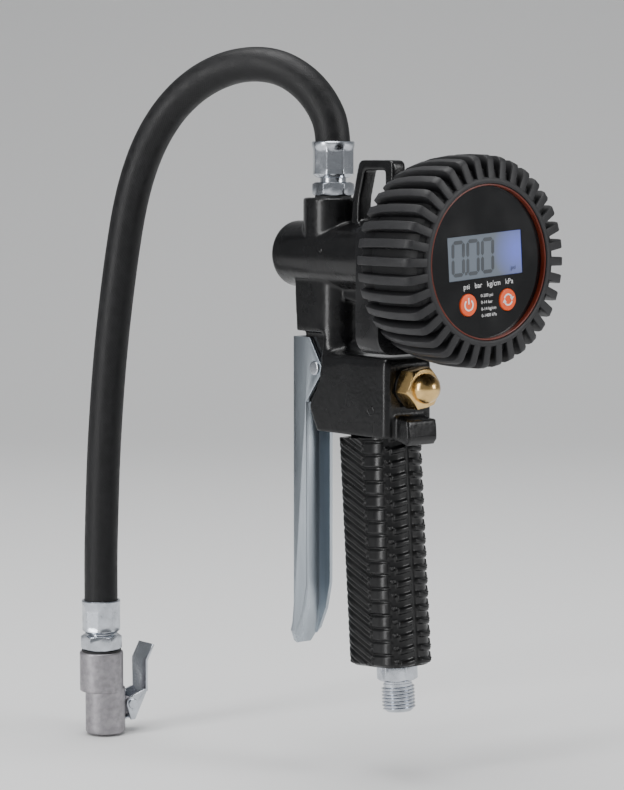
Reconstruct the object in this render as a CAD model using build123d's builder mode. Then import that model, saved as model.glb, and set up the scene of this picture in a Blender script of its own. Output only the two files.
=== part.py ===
from build123d import *
from math import cos, radians, sin, tan
import os

# A hand-held tyre inflator with a digital gauge: a die-cast body with a ribbed grip, a
# squeeze lever that opens an air valve, a rubber-booted gauge, and a short hose that ends
# in a clip-on chuck. Millimetres, +Z up, the dial faces -Y and the lever is on the +Y side.
# The origin is the centre of the inlet thread's free end.

os.makedirs("parts", exist_ok=True)

# ---------------------------------------------------------------- driving dimensions
# Handle, grip and inlet, measured along the handle's leaning axis
LEAN = 4.4  # degrees by which the handle's foot swings towards the dial side
THREAD_R = 6.58  # 1/4 inch parallel pipe thread, outside radius
THREAD_LENGTH = 11.0
INLET_HEX = 14.0  # across flats
GRIP_FOOT = 18.4  # height of the grip's lower end
GRIP_LENGTH = 91.6
GRIP_WIDTH = 24.0
GRIP_DEPTH = 32.0
GRIP_CORNER = 8.5
GRIP_BACK = 3.3  # the grip's centre stands behind the inlet's axis
CORE_WIDTH = 17.0
CORE_DEPTH = 25.0
CORE_CORNER = 7.0
FLOW_R = 4.0  # air passage up the handle

# Valve block and the valve in it, whose axis runs along Y
BLOCK_HALF = 12.0
BLOCK_FRONT = -5.6
NECK_HALF = 7.0  # the block's rear, beside the lever's ears
BLOCK_LOW = 108.5
BLOCK_TOP = 140.0
VALVE_Z = 128.3
CHAMBER_R = 6.0
SEAT_Y = 14.0
PORT_R = 2.6
PORT_END = 40.4
RISE_Y = 38.2  # the rise from the port to the manifold
STEM_R = 1.6
NUT_HEX = 15.0

# Squeeze lever and its pivot
PIVOT_Y = 43.8
PIVOT_Z = 132.8
PIN_R = 1.8
TONGUE_HALF = 5.3
LEVER_WIDTH = 14.0
LEVER_SHEET = 1.5
LEVER_BACK = 57.7
FIT = 0.06  # radial clearance of a turning or sliding fit

# Manifold, the horizontal cylinder, and the hose boss on top of it
MANIFOLD_Z = 178.0
MANIFOLD_R = 13.4
MANIFOLD_REAR = 65.0
MANIFOLD_FRONT = -2.0
COLUMN_HALF = 9.5
COLUMN_Y = 38.0  # axis of its round front
BOSS_Y = 41.0
BOSS_R = 12.0
BOSS_TOP = 200.9
HOOK_HALF = 3.4

# Gauge, round about the manifold's axis and rolled a little on its thread
ROLL = 4.0  # degrees
BOOT_BACK = -17.4
BOOT_FRONT = -51.0
BOOT_LIP_R = 29.2
CASE_R = 33.3
DIAL_Y = -48.5
DIAL_R = 28.4
SCREEN = (37.2, 16.2)
SCREEN_UP = 2.4
BUTTON_R = 4.2
BUTTON_AT = (10.0, -15.1)
BUTTON_TRAVEL = 0.5
HOUSING_HALF = 26.0
HOUSING_LOW = 142.2
HOUSING_HIGH = 192.0
HOUSING_BACK = -3.9
HOUSING_FRONT = -16.0
BATTERY_R = 5.2
BATTERY_LENGTH = 44.5
BATTERY_Y = -10.5
BATTERY_Z = (150.6, 161.2)
HOUSING_WALL = 1.3

# Hose and chuck
HOSE_R = 7.0
HOSE_BORE_R = 3.5
FERRULE_R = 8.0
FERRULE_TOP_R = 8.4
CHUCK_X = -49.3
CHUCK_Y = 134.8
CHUCK_LOW = -25.5
CHUCK_STEP = -7.2
CHUCK_TOP = 9.5
MOUTH_X = CHUCK_X + 1.8  # the mouth is a little towards the clip
MOUTH_R = 4.1
MOUTH_DEPTH = 9.0
CLIP_X = CHUCK_X + 12.2
CLIP_Z = -13.9
CLIP_HALF = 5.1
CLIP_SHEET = 1.0

# ---------------------------------------------------------------- planes and outlines
inlet = Plane(origin=(0, 0, 0), x_dir=(1, 0, 0), z_dir=(0, sin(radians(LEAN)), cos(radians(LEAN))))


def up_handle(height, back=0.0):
    """Plane square to the handle's axis, this far up it and this far behind the inlet."""
    return Plane(origin=inlet.from_local_coords((0, back, height)), x_dir=(1, 0, 0), z_dir=inlet.z_dir)


def facing_front(y, z=MANIFOLD_Z, x=0.0):
    """Upright plane at y that faces the dial side, so that extruding goes towards -Y."""
    return Plane(origin=(x, y, z), x_dir=(1, 0, 0), z_dir=(0, -1, 0))


def on_dial(y):
    """Plane of the rolled gauge at y, facing the dial side."""
    roll = radians(ROLL)
    return Plane(origin=(0, y, MANIFOLD_Z), x_dir=(cos(roll), 0, sin(roll)), z_dir=(0, -1, 0))


def side_on(half):
    """Upright plane in Y and Z, half a width to the -X side, so that extruding goes to +X."""
    return Plane.YZ.offset(-half)


# ================================================================ body and handle
with BuildPart() as body_casting:
    # Valve block, whose rear stays in front of the lever's ears
    with BuildSketch(side_on(BLOCK_HALF)):
        with BuildLine():
            Polyline(
                (BLOCK_FRONT, BLOCK_LOW), (BLOCK_FRONT, BLOCK_TOP), (35, BLOCK_TOP),
                (35, 129), (41.4, 118), (36.6, BLOCK_LOW), close=True,
            )
        make_face()
    extrude(amount=2 * BLOCK_HALF)
    fillet(body_casting.edges().group_by(Axis.Z)[-1].sort_by(Axis.Y)[:3], 3.5)
    fillet(body_casting.edges().filter_by(Axis.Z).sort_by(Axis.Y)[:2], 2.5)

    # Column from the block up to the manifold, round in front, with a spreading foot
    with BuildSketch(Plane.XY.offset(BLOCK_TOP - 1)):
        with BuildLine():
            Polyline(
                (COLUMN_HALF, COLUMN_Y), (COLUMN_HALF, 54), (-COLUMN_HALF, 54), (-COLUMN_HALF, COLUMN_Y),
            )
            ThreePointArc((-COLUMN_HALF, COLUMN_Y), (0, COLUMN_Y - COLUMN_HALF), (COLUMN_HALF, COLUMN_Y))
        make_face()
    extrude(amount=MANIFOLD_Z - BLOCK_TOP + 1)
    with BuildSketch(Plane.YZ):
        with BuildLine():
            Polyline((COLUMN_Y - 9, 149), (COLUMN_Y - 9.6, 149))
            ThreePointArc((COLUMN_Y - 9.6, 149), (COLUMN_Y - 10.1, 143), (COLUMN_Y - 11.9, 137))
            Polyline((COLUMN_Y - 11.9, 137), (COLUMN_Y - 9, 137), (COLUMN_Y - 9, 149))
        make_face()
    revolve(axis=Axis((0, COLUMN_Y, 0), (0, 0, 1)))
    with BuildSketch(side_on(5)):
        with BuildLine():
            Line((34, 138.5), (34, 149))
            Line((34, 149), (29.9, 149))
            ThreePointArc((29.9, 149), (27.2, 142.6), (20.8, 139.7))
            Line((20.8, 139.7), (20.8, 138.5))
            Line((20.8, 138.5), (34, 138.5))
        make_face()
    extrude(amount=10)
    # Behind it there is room for the lever's ears
    with BuildSketch(side_on(14)):
        with BuildLine():
            Polyline(
                (36.5, 136), (36.5, 147.5), (52.9, 147.5), (54, 161.5), (60, 161.5), (60, 136), close=True,
            )
        make_face()
    extrude(amount=28, mode=Mode.SUBTRACT)

    # Neck behind the block, and the tongue between the lever's ears
    with BuildSketch(side_on(NECK_HALF)):
        with BuildLine():
            Polyline(
                (30, 112), (30, 139.2), (39.3, 139.2), (39.3, 126), (42.8, 117.5), (36, 112), close=True,
            )
        make_face()
    extrude(amount=2 * NECK_HALF)
    with BuildSketch(side_on(TONGUE_HALF)):
        with BuildLine():
            Polyline(
                (33, 112.5), (33, 150), (52.4, 150), (52.4, 121), (44, 114), close=True,
            )
        make_face()
    extrude(amount=2 * TONGUE_HALF)

    # Manifold, its hose boss, and the web under it
    with BuildSketch(facing_front(MANIFOLD_REAR)):
        Circle(MANIFOLD_R)
    extrude(amount=MANIFOLD_REAR - MANIFOLD_FRONT)
    fillet(body_casting.edges().filter_by(GeomType.CIRCLE).sort_by(Axis.Y)[-1], 2)
    with BuildSketch(Plane((0, BOSS_Y, MANIFOLD_Z))):
        Circle(BOSS_R)
    extrude(amount=BOSS_TOP - MANIFOLD_Z)
    fillet(body_casting.edges().filter_by(GeomType.CIRCLE).sort_by(Axis.Z)[-1], 0.8)
    with BuildSketch(side_on(4.5)):
        with BuildLine():
            Polyline((38, 172), (38, 163), (-1.5, 154.5), (-1.5, 172), close=True)
        make_face()
    extrude(amount=9)

    # Hanging hook on the manifold, leaning over towards the gauge
    with BuildSketch(side_on(HOOK_HALF)):
        with BuildLine():
            Polyline(
                (26.6, 188), (25.4, 201), (21.4, 215.8), (0.8, 215.8), (0.8, 203), (5.6, 203),
                (5.6, 211.8), (17.8, 211.8), (20.9, 201), (21.6, 188), close=True,
            )
        make_face()
        fillet(vertices().group_by(Axis.Y)[-1], 2.6)
    extrude(amount=2 * HOOK_HALF)

    # Core of the handle, inside the grip
    with BuildSketch(up_handle(GRIP_FOOT + 0.4, GRIP_BACK)):
        RectangleRounded(CORE_WIDTH, CORE_DEPTH, CORE_CORNER)
    extrude(amount=GRIP_LENGTH + 4)

    # Finger stop under the cap nut
    with BuildSketch(side_on(7.5)):
        with BuildLine():
            Polyline(
                (BLOCK_FRONT + 3, 109), (BLOCK_FRONT + 3, 117), (-13, 116), (-13.8, 108.5),
                (-12, 106.2), (-5.4, 107.8), (-5.4, 108.8), close=True,
            )
        make_face()
    extrude(amount=15)

    # Air passages: up the handle, valve chamber, port, stem guide, rise, manifold, boss
    with BuildSketch(up_handle(GRIP_FOOT)):
        Circle(6.0)
    extrude(amount=12, mode=Mode.SUBTRACT)
    with BuildSketch(up_handle(GRIP_FOOT)):
        Circle(7.6)
    extrude(amount=1.8, mode=Mode.SUBTRACT)
    with BuildSketch(up_handle(GRIP_FOOT)):
        Circle(FLOW_R)
    extrude(amount=VALVE_Z - GRIP_FOOT - 2, mode=Mode.SUBTRACT)
    with BuildSketch(facing_front(SEAT_Y, VALVE_Z)):
        Circle(CHAMBER_R)
    extrude(amount=SEAT_Y - BLOCK_FRONT + 2, mode=Mode.SUBTRACT)
    with BuildSketch(facing_front(PORT_END, VALVE_Z)):
        Circle(PORT_R)
    extrude(amount=PORT_END - SEAT_Y + 1, mode=Mode.SUBTRACT)
    with BuildSketch(facing_front(60, VALVE_Z)):
        Circle(STEM_R + FIT)
    extrude(amount=22, mode=Mode.SUBTRACT)
    with BuildSketch(facing_front(49, VALVE_Z)):
        Circle(2.9)
    extrude(amount=2, mode=Mode.SUBTRACT)
    with BuildSketch(Plane((0, RISE_Y, VALVE_Z))):
        Circle(2.0)
    extrude(amount=MANIFOLD_Z - VALVE_Z, mode=Mode.SUBTRACT)
    with BuildSketch(facing_front(50)):
        Circle(4.5)
    extrude(amount=60, mode=Mode.SUBTRACT)
    with BuildSketch(facing_front(12)):
        Circle(THREAD_R)
    extrude(amount=20, mode=Mode.SUBTRACT)
    with BuildSketch(Plane((0, BOSS_Y, MANIFOLD_Z))):
        Circle(3.5)
    extrude(amount=30, mode=Mode.SUBTRACT)
    with BuildSketch(Plane((0, BOSS_Y, 188))):
        Circle(6.5)
    extrude(amount=20, mode=Mode.SUBTRACT)
    # Hole for the lever's pin
    with BuildSketch(Plane.YZ.offset(-20)):
        with Locations((PIVOT_Y, PIVOT_Z)):
            Circle(PIN_R + FIT)
    extrude(amount=40, mode=Mode.SUBTRACT)
body_casting.part.label = "body_casting"
export_step(body_casting.part, "parts/body_casting.step")

with BuildPart() as grip_sleeve:
    with BuildSketch(up_handle(GRIP_FOOT, GRIP_BACK)):
        RectangleRounded(GRIP_WIDTH, GRIP_DEPTH, GRIP_CORNER)
    extrude(amount=GRIP_LENGTH)
    with BuildSketch(up_handle(GRIP_FOOT, GRIP_BACK)):
        RectangleRounded(CORE_WIDTH + 2 * FIT, CORE_DEPTH + 2 * FIT, CORE_CORNER + FIT)
    extrude(amount=GRIP_LENGTH, mode=Mode.SUBTRACT)
    # The top is cut level, just under the valve block and its finger stop
    with BuildSketch(Plane.XY.offset(BLOCK_LOW - 0.05)):
        with Locations((0, 10)):
            Rectangle(80, 80)
    extrude(amount=20, mode=Mode.SUBTRACT)
grip_sleeve.part.label = "grip_sleeve"
export_step(grip_sleeve.part, "parts/grip_sleeve.step")

# ================================================================ air inlet
with BuildPart() as inlet_nipple:
    with BuildSketch(inlet):
        Circle(THREAD_R)
    extrude(amount=THREAD_LENGTH)
    with BuildSketch(up_handle(THREAD_LENGTH)):
        Circle(5.8)
    extrude(amount=1.2)
    with BuildSketch(up_handle(THREAD_LENGTH + 1.2)):
        RegularPolygon(INLET_HEX / 2, 6, major_radius=False, rotation=15)
    extrude(amount=GRIP_FOOT - THREAD_LENGTH - 1.2)
    with BuildSketch(up_handle(GRIP_FOOT)):
        Circle(6.0)
    extrude(amount=11)
    with BuildSketch(inlet):
        Circle(3.6)
    extrude(amount=40, mode=Mode.SUBTRACT)
    with BuildSketch(up_handle(19)):
        Circle(4.6)
    extrude(amount=20, mode=Mode.SUBTRACT)
inlet_nipple.part.label = "inlet_nipple"
export_step(inlet_nipple.part, "parts/inlet_nipple.step")

with BuildPart() as inlet_filter:
    with BuildSketch(up_handle(19)):
        Circle(4.55)
        Circle(3.6, mode=Mode.SUBTRACT)
    extrude(amount=9)
    with BuildSketch(up_handle(28)):
        Circle(4.55)
    extrude(amount=1.5)
inlet_filter.part.label = "inlet_filter"
export_step(inlet_filter.part, "parts/inlet_filter.step")

with BuildPart() as inlet_seal:
    with BuildSketch(up_handle(GRIP_FOOT + 0.05)):
        Circle(7.5)
        Circle(6.05, mode=Mode.SUBTRACT)
    extrude(amount=1.7)
inlet_seal.part.label = "inlet_seal"
export_step(inlet_seal.part, "parts/inlet_seal.step")

# ================================================================ air valve
POPPET_BACK = SEAT_Y - 3.0
STEM_END = LEVER_BACK - LEVER_SHEET - 0.15

with BuildPart() as valve_seat:
    with BuildSketch(facing_front(SEAT_Y, VALVE_Z)):
        Circle(CHAMBER_R - 0.05)
        Circle(2.8, mode=Mode.SUBTRACT)
    extrude(amount=2.9)
valve_seat.part.label = "valve_seat"
export_step(valve_seat.part, "parts/valve_seat.step")

with BuildPart() as valve_stem:
    with BuildSketch(facing_front(STEM_END, VALVE_Z)):
        Circle(STEM_R)
    extrude(amount=STEM_END - 5)
    # Round end, on which the lever rolls as it tips
    fillet(valve_stem.edges().group_by(Axis.Y)[-1], STEM_R - 0.02)
    with BuildSketch(facing_front(POPPET_BACK - 1.6, VALVE_Z)):
        Circle(4.9)
    extrude(amount=1.8)
    with BuildSketch(facing_front(POPPET_BACK - 3.4, VALVE_Z)):
        Circle(2.4)
    extrude(amount=2.6)
valve_stem.part.label = "valve_stem"
export_step(valve_stem.part, "parts/valve_stem.step")

with BuildPart() as poppet_seal:
    with BuildSketch(facing_front(POPPET_BACK, VALVE_Z)):
        Circle(4.7)
        Circle(STEM_R + 0.05, mode=Mode.SUBTRACT)
    extrude(amount=1.55)
poppet_seal.part.label = "poppet_seal"
export_step(poppet_seal.part, "parts/poppet_seal.step")

with BuildPart() as valve_spring:
    with BuildSketch(facing_front(POPPET_BACK - 4.4, VALVE_Z)):
        Circle(3.5)
        Circle(2.7, mode=Mode.SUBTRACT)
    extrude(amount=13.7)
valve_spring.part.label = "valve_spring"
export_step(valve_spring.part, "parts/valve_spring.step")

with BuildPart() as stem_seal:
    with BuildSketch(facing_front(48.95, VALVE_Z)):
        Circle(2.85)
        Circle(STEM_R + FIT, mode=Mode.SUBTRACT)
    extrude(amount=1.9)
stem_seal.part.label = "stem_seal"
export_step(stem_seal.part, "parts/stem_seal.step")

with BuildPart() as valve_cap_nut:
    with BuildSketch(facing_front(3, VALVE_Z)):
        Circle(CHAMBER_R - 0.02)
    extrude(amount=3.9 - BLOCK_FRONT)
    with BuildSketch(facing_front(BLOCK_FRONT - 0.8, VALVE_Z)):
        RegularPolygon(NUT_HEX / 2, 6, major_radius=False, rotation=10)
    extrude(amount=8.2)
    # Domed end
    with BuildSketch(facing_front(BLOCK_FRONT - 9, VALVE_Z)):
        Circle(6.1)
    extrude(amount=6)
    fillet(valve_cap_nut.edges().group_by(Axis.Y)[0], 5)
    with BuildSketch(facing_front(4, VALVE_Z)):
        Circle(3.7)
    extrude(amount=11.5, mode=Mode.SUBTRACT)
valve_cap_nut.part.label = "valve_cap_nut"
export_step(valve_cap_nut.part, "parts/valve_cap_nut.step")

with BuildPart() as cap_nut_seal:
    with BuildSketch(facing_front(BLOCK_FRONT, VALVE_Z)):
        Circle(7.4)
        Circle(6.0, mode=Mode.SUBTRACT)
    extrude(amount=0.8)
cap_nut_seal.part.label = "cap_nut_seal"
export_step(cap_nut_seal.part, "parts/cap_nut_seal.step")

# ================================================================ squeeze lever
with BuildPart() as lever:
    # Outside of the folded channel: back, flared foot and the two pivot ears
    with BuildSketch(side_on(LEVER_WIDTH / 2)):
        with BuildLine():
            Polyline(
                (57.7, 145), (47.5, 145), (40.2, 134), (40.6, 130), (49.7, 118.8), (49.7, 44),
                (52.4, 33), (59.6, 18.6), (61.2, 19.4), (58.6, 28), (57.7, 36), close=True,
            )
        make_face()
        fillet(vertices().sort_by(Axis.X)[:2], 1.2)
    extrude(amount=LEVER_WIDTH)
    # The trough inside it, one sheet from the back
    with BuildSketch(side_on(LEVER_WIDTH / 2 - LEVER_SHEET)):
        with BuildLine():
            Polyline(
                (56.2, 150), (30, 150), (30, 10), (62, 10), (59.6, 18.6), (57.1, 28), (56.2, 36), close=True,
            )
        make_face()
    extrude(amount=LEVER_WIDTH - 2 * LEVER_SHEET, mode=Mode.SUBTRACT)
    # Rounded foot, seen from behind
    with BuildSketch(Plane.XZ.offset(-70)):
        with Locations((0, 14)):
            Rectangle(20, 20)
        with BuildLine():
            Polyline((-7, 60), (-7, 24.5), (-3.5, 18.4), (3.5, 18.4), (7, 24.5), (7, 60), close=True)
        make_face(mode=Mode.SUBTRACT)
    extrude(amount=40, mode=Mode.SUBTRACT)
    with BuildSketch(side_on(20)):
        with Locations((PIVOT_Y, PIVOT_Z)):
            Circle(PIN_R + 0.01)
    extrude(amount=40, mode=Mode.SUBTRACT)
lever.part.label = "lever"
export_step(lever.part, "parts/lever.step")

with BuildPart() as lever_pin:
    with BuildSketch(side_on(LEVER_WIDTH / 2)):
        with Locations((PIVOT_Y, PIVOT_Z)):
            Circle(PIN_R)
    extrude(amount=LEVER_WIDTH)
    for x in (-LEVER_WIDTH / 2 - 1.0, LEVER_WIDTH / 2):
        with BuildSketch(Plane.YZ.offset(x)):
            with Locations((PIVOT_Y, PIVOT_Z)):
                Circle(2.9)
        extrude(amount=1.0)
    fillet(lever_pin.edges().filter_by(GeomType.CIRCLE).sort_by(Axis.X)[0], 0.7)
    fillet(lever_pin.edges().filter_by(GeomType.CIRCLE).sort_by(Axis.X)[-1], 0.7)
lever_pin.part.label = "lever_pin"
export_step(lever_pin.part, "parts/lever_pin.step")

# ================================================================ gauge
with BuildPart() as gauge_stem:
    with BuildSketch(facing_front(10)):
        Circle(THREAD_R - 0.03)
    extrude(amount=10 - MANIFOLD_FRONT)
    with BuildSketch(facing_front(MANIFOLD_FRONT - 0.9)):
        Circle(8.5)
    extrude(amount=0.8)
    with BuildSketch(facing_front(MANIFOLD_FRONT)):
        Circle(5.5)
    extrude(amount=27)
    with BuildSketch(facing_front(12)):
        Circle(1.5)
    extrude(amount=50, mode=Mode.SUBTRACT)
gauge_stem.part.label = "gauge_stem"
export_step(gauge_stem.part, "parts/gauge_stem.step")

with BuildPart() as stem_washer:
    with BuildSketch(facing_front(MANIFOLD_FRONT)):
        Circle(8.8)
        Circle(6.6, mode=Mode.SUBTRACT)
    extrude(amount=0.9)
stem_washer.part.label = "stem_washer"
export_step(stem_washer.part, "parts/stem_washer.step")

housing_mid = (HOUSING_LOW + HOUSING_HIGH) / 2
housing_tall = HOUSING_HIGH - HOUSING_LOW
DOOR = (44.0, 22.0)
DOOR_Z = 155.4

with BuildPart() as battery_housing:
    with BuildSketch(facing_front(HOUSING_BACK, housing_mid)):
        RectangleRounded(2 * HOUSING_HALF, housing_tall, 7)
    extrude(amount=HOUSING_BACK - HOUSING_FRONT)
    with BuildSketch(facing_front(HOUSING_BACK - HOUSING_WALL, housing_mid)):
        RectangleRounded(2 * HOUSING_HALF - 3.2, housing_tall - 3.2, 5.4)
    extrude(amount=20, mode=Mode.SUBTRACT)
    # Collar round the gauge stem
    with BuildSketch(facing_front(HOUSING_BACK)):
        Circle(8.5)
    extrude(amount=HOUSING_BACK - HOUSING_FRONT)
    with BuildSketch(facing_front(0)):
        Circle(5.55)
    extrude(amount=30, mode=Mode.SUBTRACT)
    # Opening for the battery door, with four screw holes above and beside it
    with BuildSketch(facing_front(0, DOOR_Z)):
        RectangleRounded(*DOOR, 2)
    extrude(amount=HOUSING_WALL - HOUSING_BACK + 0.1, mode=Mode.SUBTRACT)
    with BuildSketch(facing_front(0, 178)):
        with GridLocations(42, 18, 2, 2):
            Circle(1.6)
    extrude(amount=8, mode=Mode.SUBTRACT)
battery_housing.part.label = "battery_housing"
export_step(battery_housing.part, "parts/battery_housing.step")

with BuildPart() as battery_door:
    with BuildSketch(facing_front(HOUSING_BACK, DOOR_Z)):
        RectangleRounded(DOOR[0] - 0.3, DOOR[1] - 0.3, 1.85)
    extrude(amount=HOUSING_WALL - 0.05)
    with BuildSketch(facing_front(0, DOOR_Z + 8)):
        Circle(1.3)
    extrude(amount=10, mode=Mode.SUBTRACT)
battery_door.part.label = "battery_door"
export_step(battery_door.part, "parts/battery_door.step")

with BuildPart() as door_screw:
    with BuildSketch(facing_front(HOUSING_BACK + 0.5, DOOR_Z + 8)):
        Circle(2.2)
    extrude(amount=0.5)
    with BuildSketch(facing_front(HOUSING_BACK, DOOR_Z + 8)):
        Circle(1.25)
    extrude(amount=HOUSING_WALL)
    with BuildSketch(facing_front(HOUSING_BACK + 1, DOOR_Z + 8)):
        Rectangle(3.2, 0.6)
        Rectangle(0.6, 3.2)
    extrude(amount=0.8, mode=Mode.SUBTRACT)
door_screw.part.label = "door_screw"
export_step(door_screw.part, "parts/door_screw.step")

with BuildPart() as case_screws:
    with BuildSketch(facing_front(HOUSING_BACK + 0.6, 178)):
        with GridLocations(42, 18, 2, 2):
            Circle(2.5)
    extrude(amount=0.6)
    with BuildSketch(facing_front(HOUSING_BACK, 178)):
        with GridLocations(42, 18, 2, 2):
            Circle(1.5)
    extrude(amount=14)
    with BuildSketch(facing_front(HOUSING_BACK + 1, 178)):
        with GridLocations(42, 18, 2, 2):
            Rectangle(3.4, 0.7)
            Rectangle(0.7, 3.4)
    extrude(amount=0.8, mode=Mode.SUBTRACT)
case_screws.part.label = "case_screws"
export_step(case_screws.part, "parts/case_screws.step")

with BuildPart() as batteries:
    for z in BATTERY_Z:
        with BuildSketch(Plane(origin=(-BATTERY_LENGTH / 2, BATTERY_Y, z), z_dir=(1, 0, 0))):
            Circle(BATTERY_R)
        extrude(amount=BATTERY_LENGTH - 1)
        with BuildSketch(Plane(origin=(-BATTERY_LENGTH / 2, BATTERY_Y, z), z_dir=(1, 0, 0))):
            Circle(1.9)
        extrude(amount=BATTERY_LENGTH)
batteries.part.label = "batteries"
export_step(batteries.part, "parts/batteries.step")

with BuildPart() as battery_contacts:
    for x in (-23.2, 22.4):
        for z in BATTERY_Z:
            with BuildSketch(Plane(origin=(x, BATTERY_Y, z), z_dir=(1, 0, 0))):
                RectangleRounded(7, 7, 1)
            extrude(amount=0.5)
battery_contacts.part.label = "battery_contacts"
export_step(battery_contacts.part, "parts/battery_contacts.step")

CASE_BACK = HOUSING_FRONT
CASE_FRONT = -47.2
with BuildPart() as gauge_case:
    with BuildSketch(facing_front(CASE_BACK)):
        Circle(CASE_R)
    extrude(amount=CASE_BACK - CASE_FRONT)
    # Square flange that closes the front of the battery housing
    with BuildSketch(facing_front(CASE_BACK, housing_mid)):
        RectangleRounded(2 * HOUSING_HALF, housing_tall, 7)
    extrude(amount=1.2)
    with BuildSketch(facing_front(CASE_BACK - 2.4)):
        Circle(CASE_R - 2.2)
    extrude(amount=40, mode=Mode.SUBTRACT)
    with BuildSketch(facing_front(0)):
        Circle(5.55)
        with GridLocations(42, 18, 2, 2):
            Circle(1.55)
    extrude(amount=30, mode=Mode.SUBTRACT)
gauge_case.part.label = "gauge_case"
export_step(gauge_case.part, "parts/gauge_case.step")

with BuildPart() as gauge_boot:
    # Crowned rubber ring: back collar, wall over the case, front lip
    with BuildSketch(Plane.YZ):
        with BuildLine():
            Polyline(
                (BOOT_FRONT, MANIFOLD_Z + BOOT_LIP_R), (BOOT_FRONT, MANIFOLD_Z + 38.4),
                (-50.0, MANIFOLD_Z + 39.2),
            )
            ThreePointArc(
                (-50.0, MANIFOLD_Z + 39.2), (-31, MANIFOLD_Z + 40.2), (BOOT_BACK, MANIFOLD_Z + 37.4),
            )
            Polyline(
                (BOOT_BACK, MANIFOLD_Z + 37.4), (BOOT_BACK, MANIFOLD_Z + CASE_R + 0.1),
                (CASE_FRONT - 0.1, MANIFOLD_Z + CASE_R + 0.1), (CASE_FRONT - 0.1, MANIFOLD_Z + BOOT_LIP_R),
                (BOOT_FRONT, MANIFOLD_Z + BOOT_LIP_R),
            )
        make_face()
    revolve(axis=Axis((0, 0, MANIFOLD_Z), (0, 1, 0)))
gauge_boot.part.label = "gauge_boot"
export_step(gauge_boot.part, "parts/gauge_boot.step")

with BuildPart() as bezel_ring:
    with BuildSketch(facing_front(CASE_FRONT - 0.1)):
        Circle(BOOT_LIP_R - 0.05)
        Circle(DIAL_R + 0.1, mode=Mode.SUBTRACT)
    extrude(amount=3.2)
bezel_ring.part.label = "bezel_ring"
export_step(bezel_ring.part, "parts/bezel_ring.step")

DIAL_THICK = 1.4
with BuildPart() as dial_plate:
    with BuildSketch(on_dial(DIAL_Y + DIAL_THICK)):
        Circle(DIAL_R)
        with Locations((0, SCREEN_UP)):
            Rectangle(SCREEN[0] + 0.2, SCREEN[1] + 0.2, mode=Mode.SUBTRACT)
        with Locations((-BUTTON_AT[0], BUTTON_AT[1]), (BUTTON_AT[0], BUTTON_AT[1])):
            Circle(BUTTON_R + 0.25, mode=Mode.SUBTRACT)
    extrude(amount=DIAL_THICK)
dial_plate.part.label = "dial_plate"
export_step(dial_plate.part, "parts/dial_plate.step")

with BuildPart() as lcd_window:
    with BuildSketch(on_dial(DIAL_Y + DIAL_THICK)):
        with Locations((0, SCREEN_UP)):
            Rectangle(*SCREEN)
    extrude(amount=DIAL_THICK - 0.3)
lcd_window.part.label = "lcd_window"
export_step(lcd_window.part, "parts/lcd_window.step")

with BuildPart() as lcd_module:
    with BuildSketch(on_dial(DIAL_Y + DIAL_THICK + 3.3)):
        with Locations((0, SCREEN_UP)):
            Rectangle(SCREEN[0] + 4, SCREEN[1] + 5)
    extrude(amount=3.2)
lcd_module.part.label = "lcd_module"
export_step(lcd_module.part, "parts/lcd_module.step")

BOARD_Y = -41.4
with BuildPart() as circuit_board:
    with BuildSketch(on_dial(BOARD_Y + 1.6)):
        Circle(28)
        with PolarLocations(25, 3, start_angle=90):
            Circle(1.5, mode=Mode.SUBTRACT)
    extrude(amount=1.6)
circuit_board.part.label = "circuit_board"
export_step(circuit_board.part, "parts/circuit_board.step")

with BuildPart() as button_switches:
    with BuildSketch(on_dial(BOARD_Y)):
        with Locations((-BUTTON_AT[0], BUTTON_AT[1]), (BUTTON_AT[0], BUTTON_AT[1])):
            Rectangle(6, 6)
    extrude(amount=3.2)
button_switches.part.label = "button_switches"
export_step(button_switches.part, "parts/button_switches.step")

BUTTON_FACE = DIAL_Y - 0.55
BUTTON_HEEL = BOARD_Y - 3.2 - BUTTON_TRAVEL - 0.2
with BuildPart() as button_power:
    with BuildSketch(on_dial(BUTTON_HEEL)):
        with Locations((-BUTTON_AT[0], BUTTON_AT[1])):
            Circle(BUTTON_R)
    extrude(amount=BUTTON_HEEL - BUTTON_FACE)
    fillet(button_power.edges().group_by(Axis.Y)[0], 0.5)
button_power.part.label = "button_power"
export_step(button_power.part, "parts/button_power.step")

with BuildPart() as button_units:
    with BuildSketch(on_dial(BUTTON_HEEL)):
        with Locations((BUTTON_AT[0], BUTTON_AT[1])):
            Circle(BUTTON_R)
    extrude(amount=BUTTON_HEEL - BUTTON_FACE)
    fillet(button_units.edges().group_by(Axis.Y)[0], 0.5)
button_units.part.label = "button_units"
export_step(button_units.part, "parts/button_units.step")

with BuildPart() as pressure_sensor:
    with BuildSketch(facing_front(-29)):
        Circle(9)
    extrude(amount=9)
pressure_sensor.part.label = "pressure_sensor"
export_step(pressure_sensor.part, "parts/pressure_sensor.step")

# ================================================================ hose
# Route of the hose's centreline: distance from the boss towards the chuck, and height
ROUTE = [
    (0, 217), (0, 228), (4.4, 238), (11.8, 246.5), (22, 252.6), (34, 254.6), (47, 252.8),
    (60, 247), (71.4, 237.6), (80.4, 225.4), (86.8, 211.6), (91.4, 196), (94.9, 177), (98.1, 156),
    (100.8, 134.5), (102.8, 113), (104.3, 92), (105.2, 71), (105.9, 52), (106, 36), (106, 20.5),
]
reach = Vector(CHUCK_X, CHUCK_Y - BOSS_Y, 0)
toward = reach / reach.length
route = [Vector(0, BOSS_Y, 0) + toward * out * (reach.length / 106) + Vector(0, 0, z) for out, z in ROUTE]
radii = []
for before, here, after in zip(route, route[1:], route[2:]):
    turn = (here - before).get_angle(after - here)
    radii.append(0.45 * min((here - before).length, (after - here).length) / tan(radians(turn / 2)))
print("hose radii in mm:", [round(r, 1) for r in radii])

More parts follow.
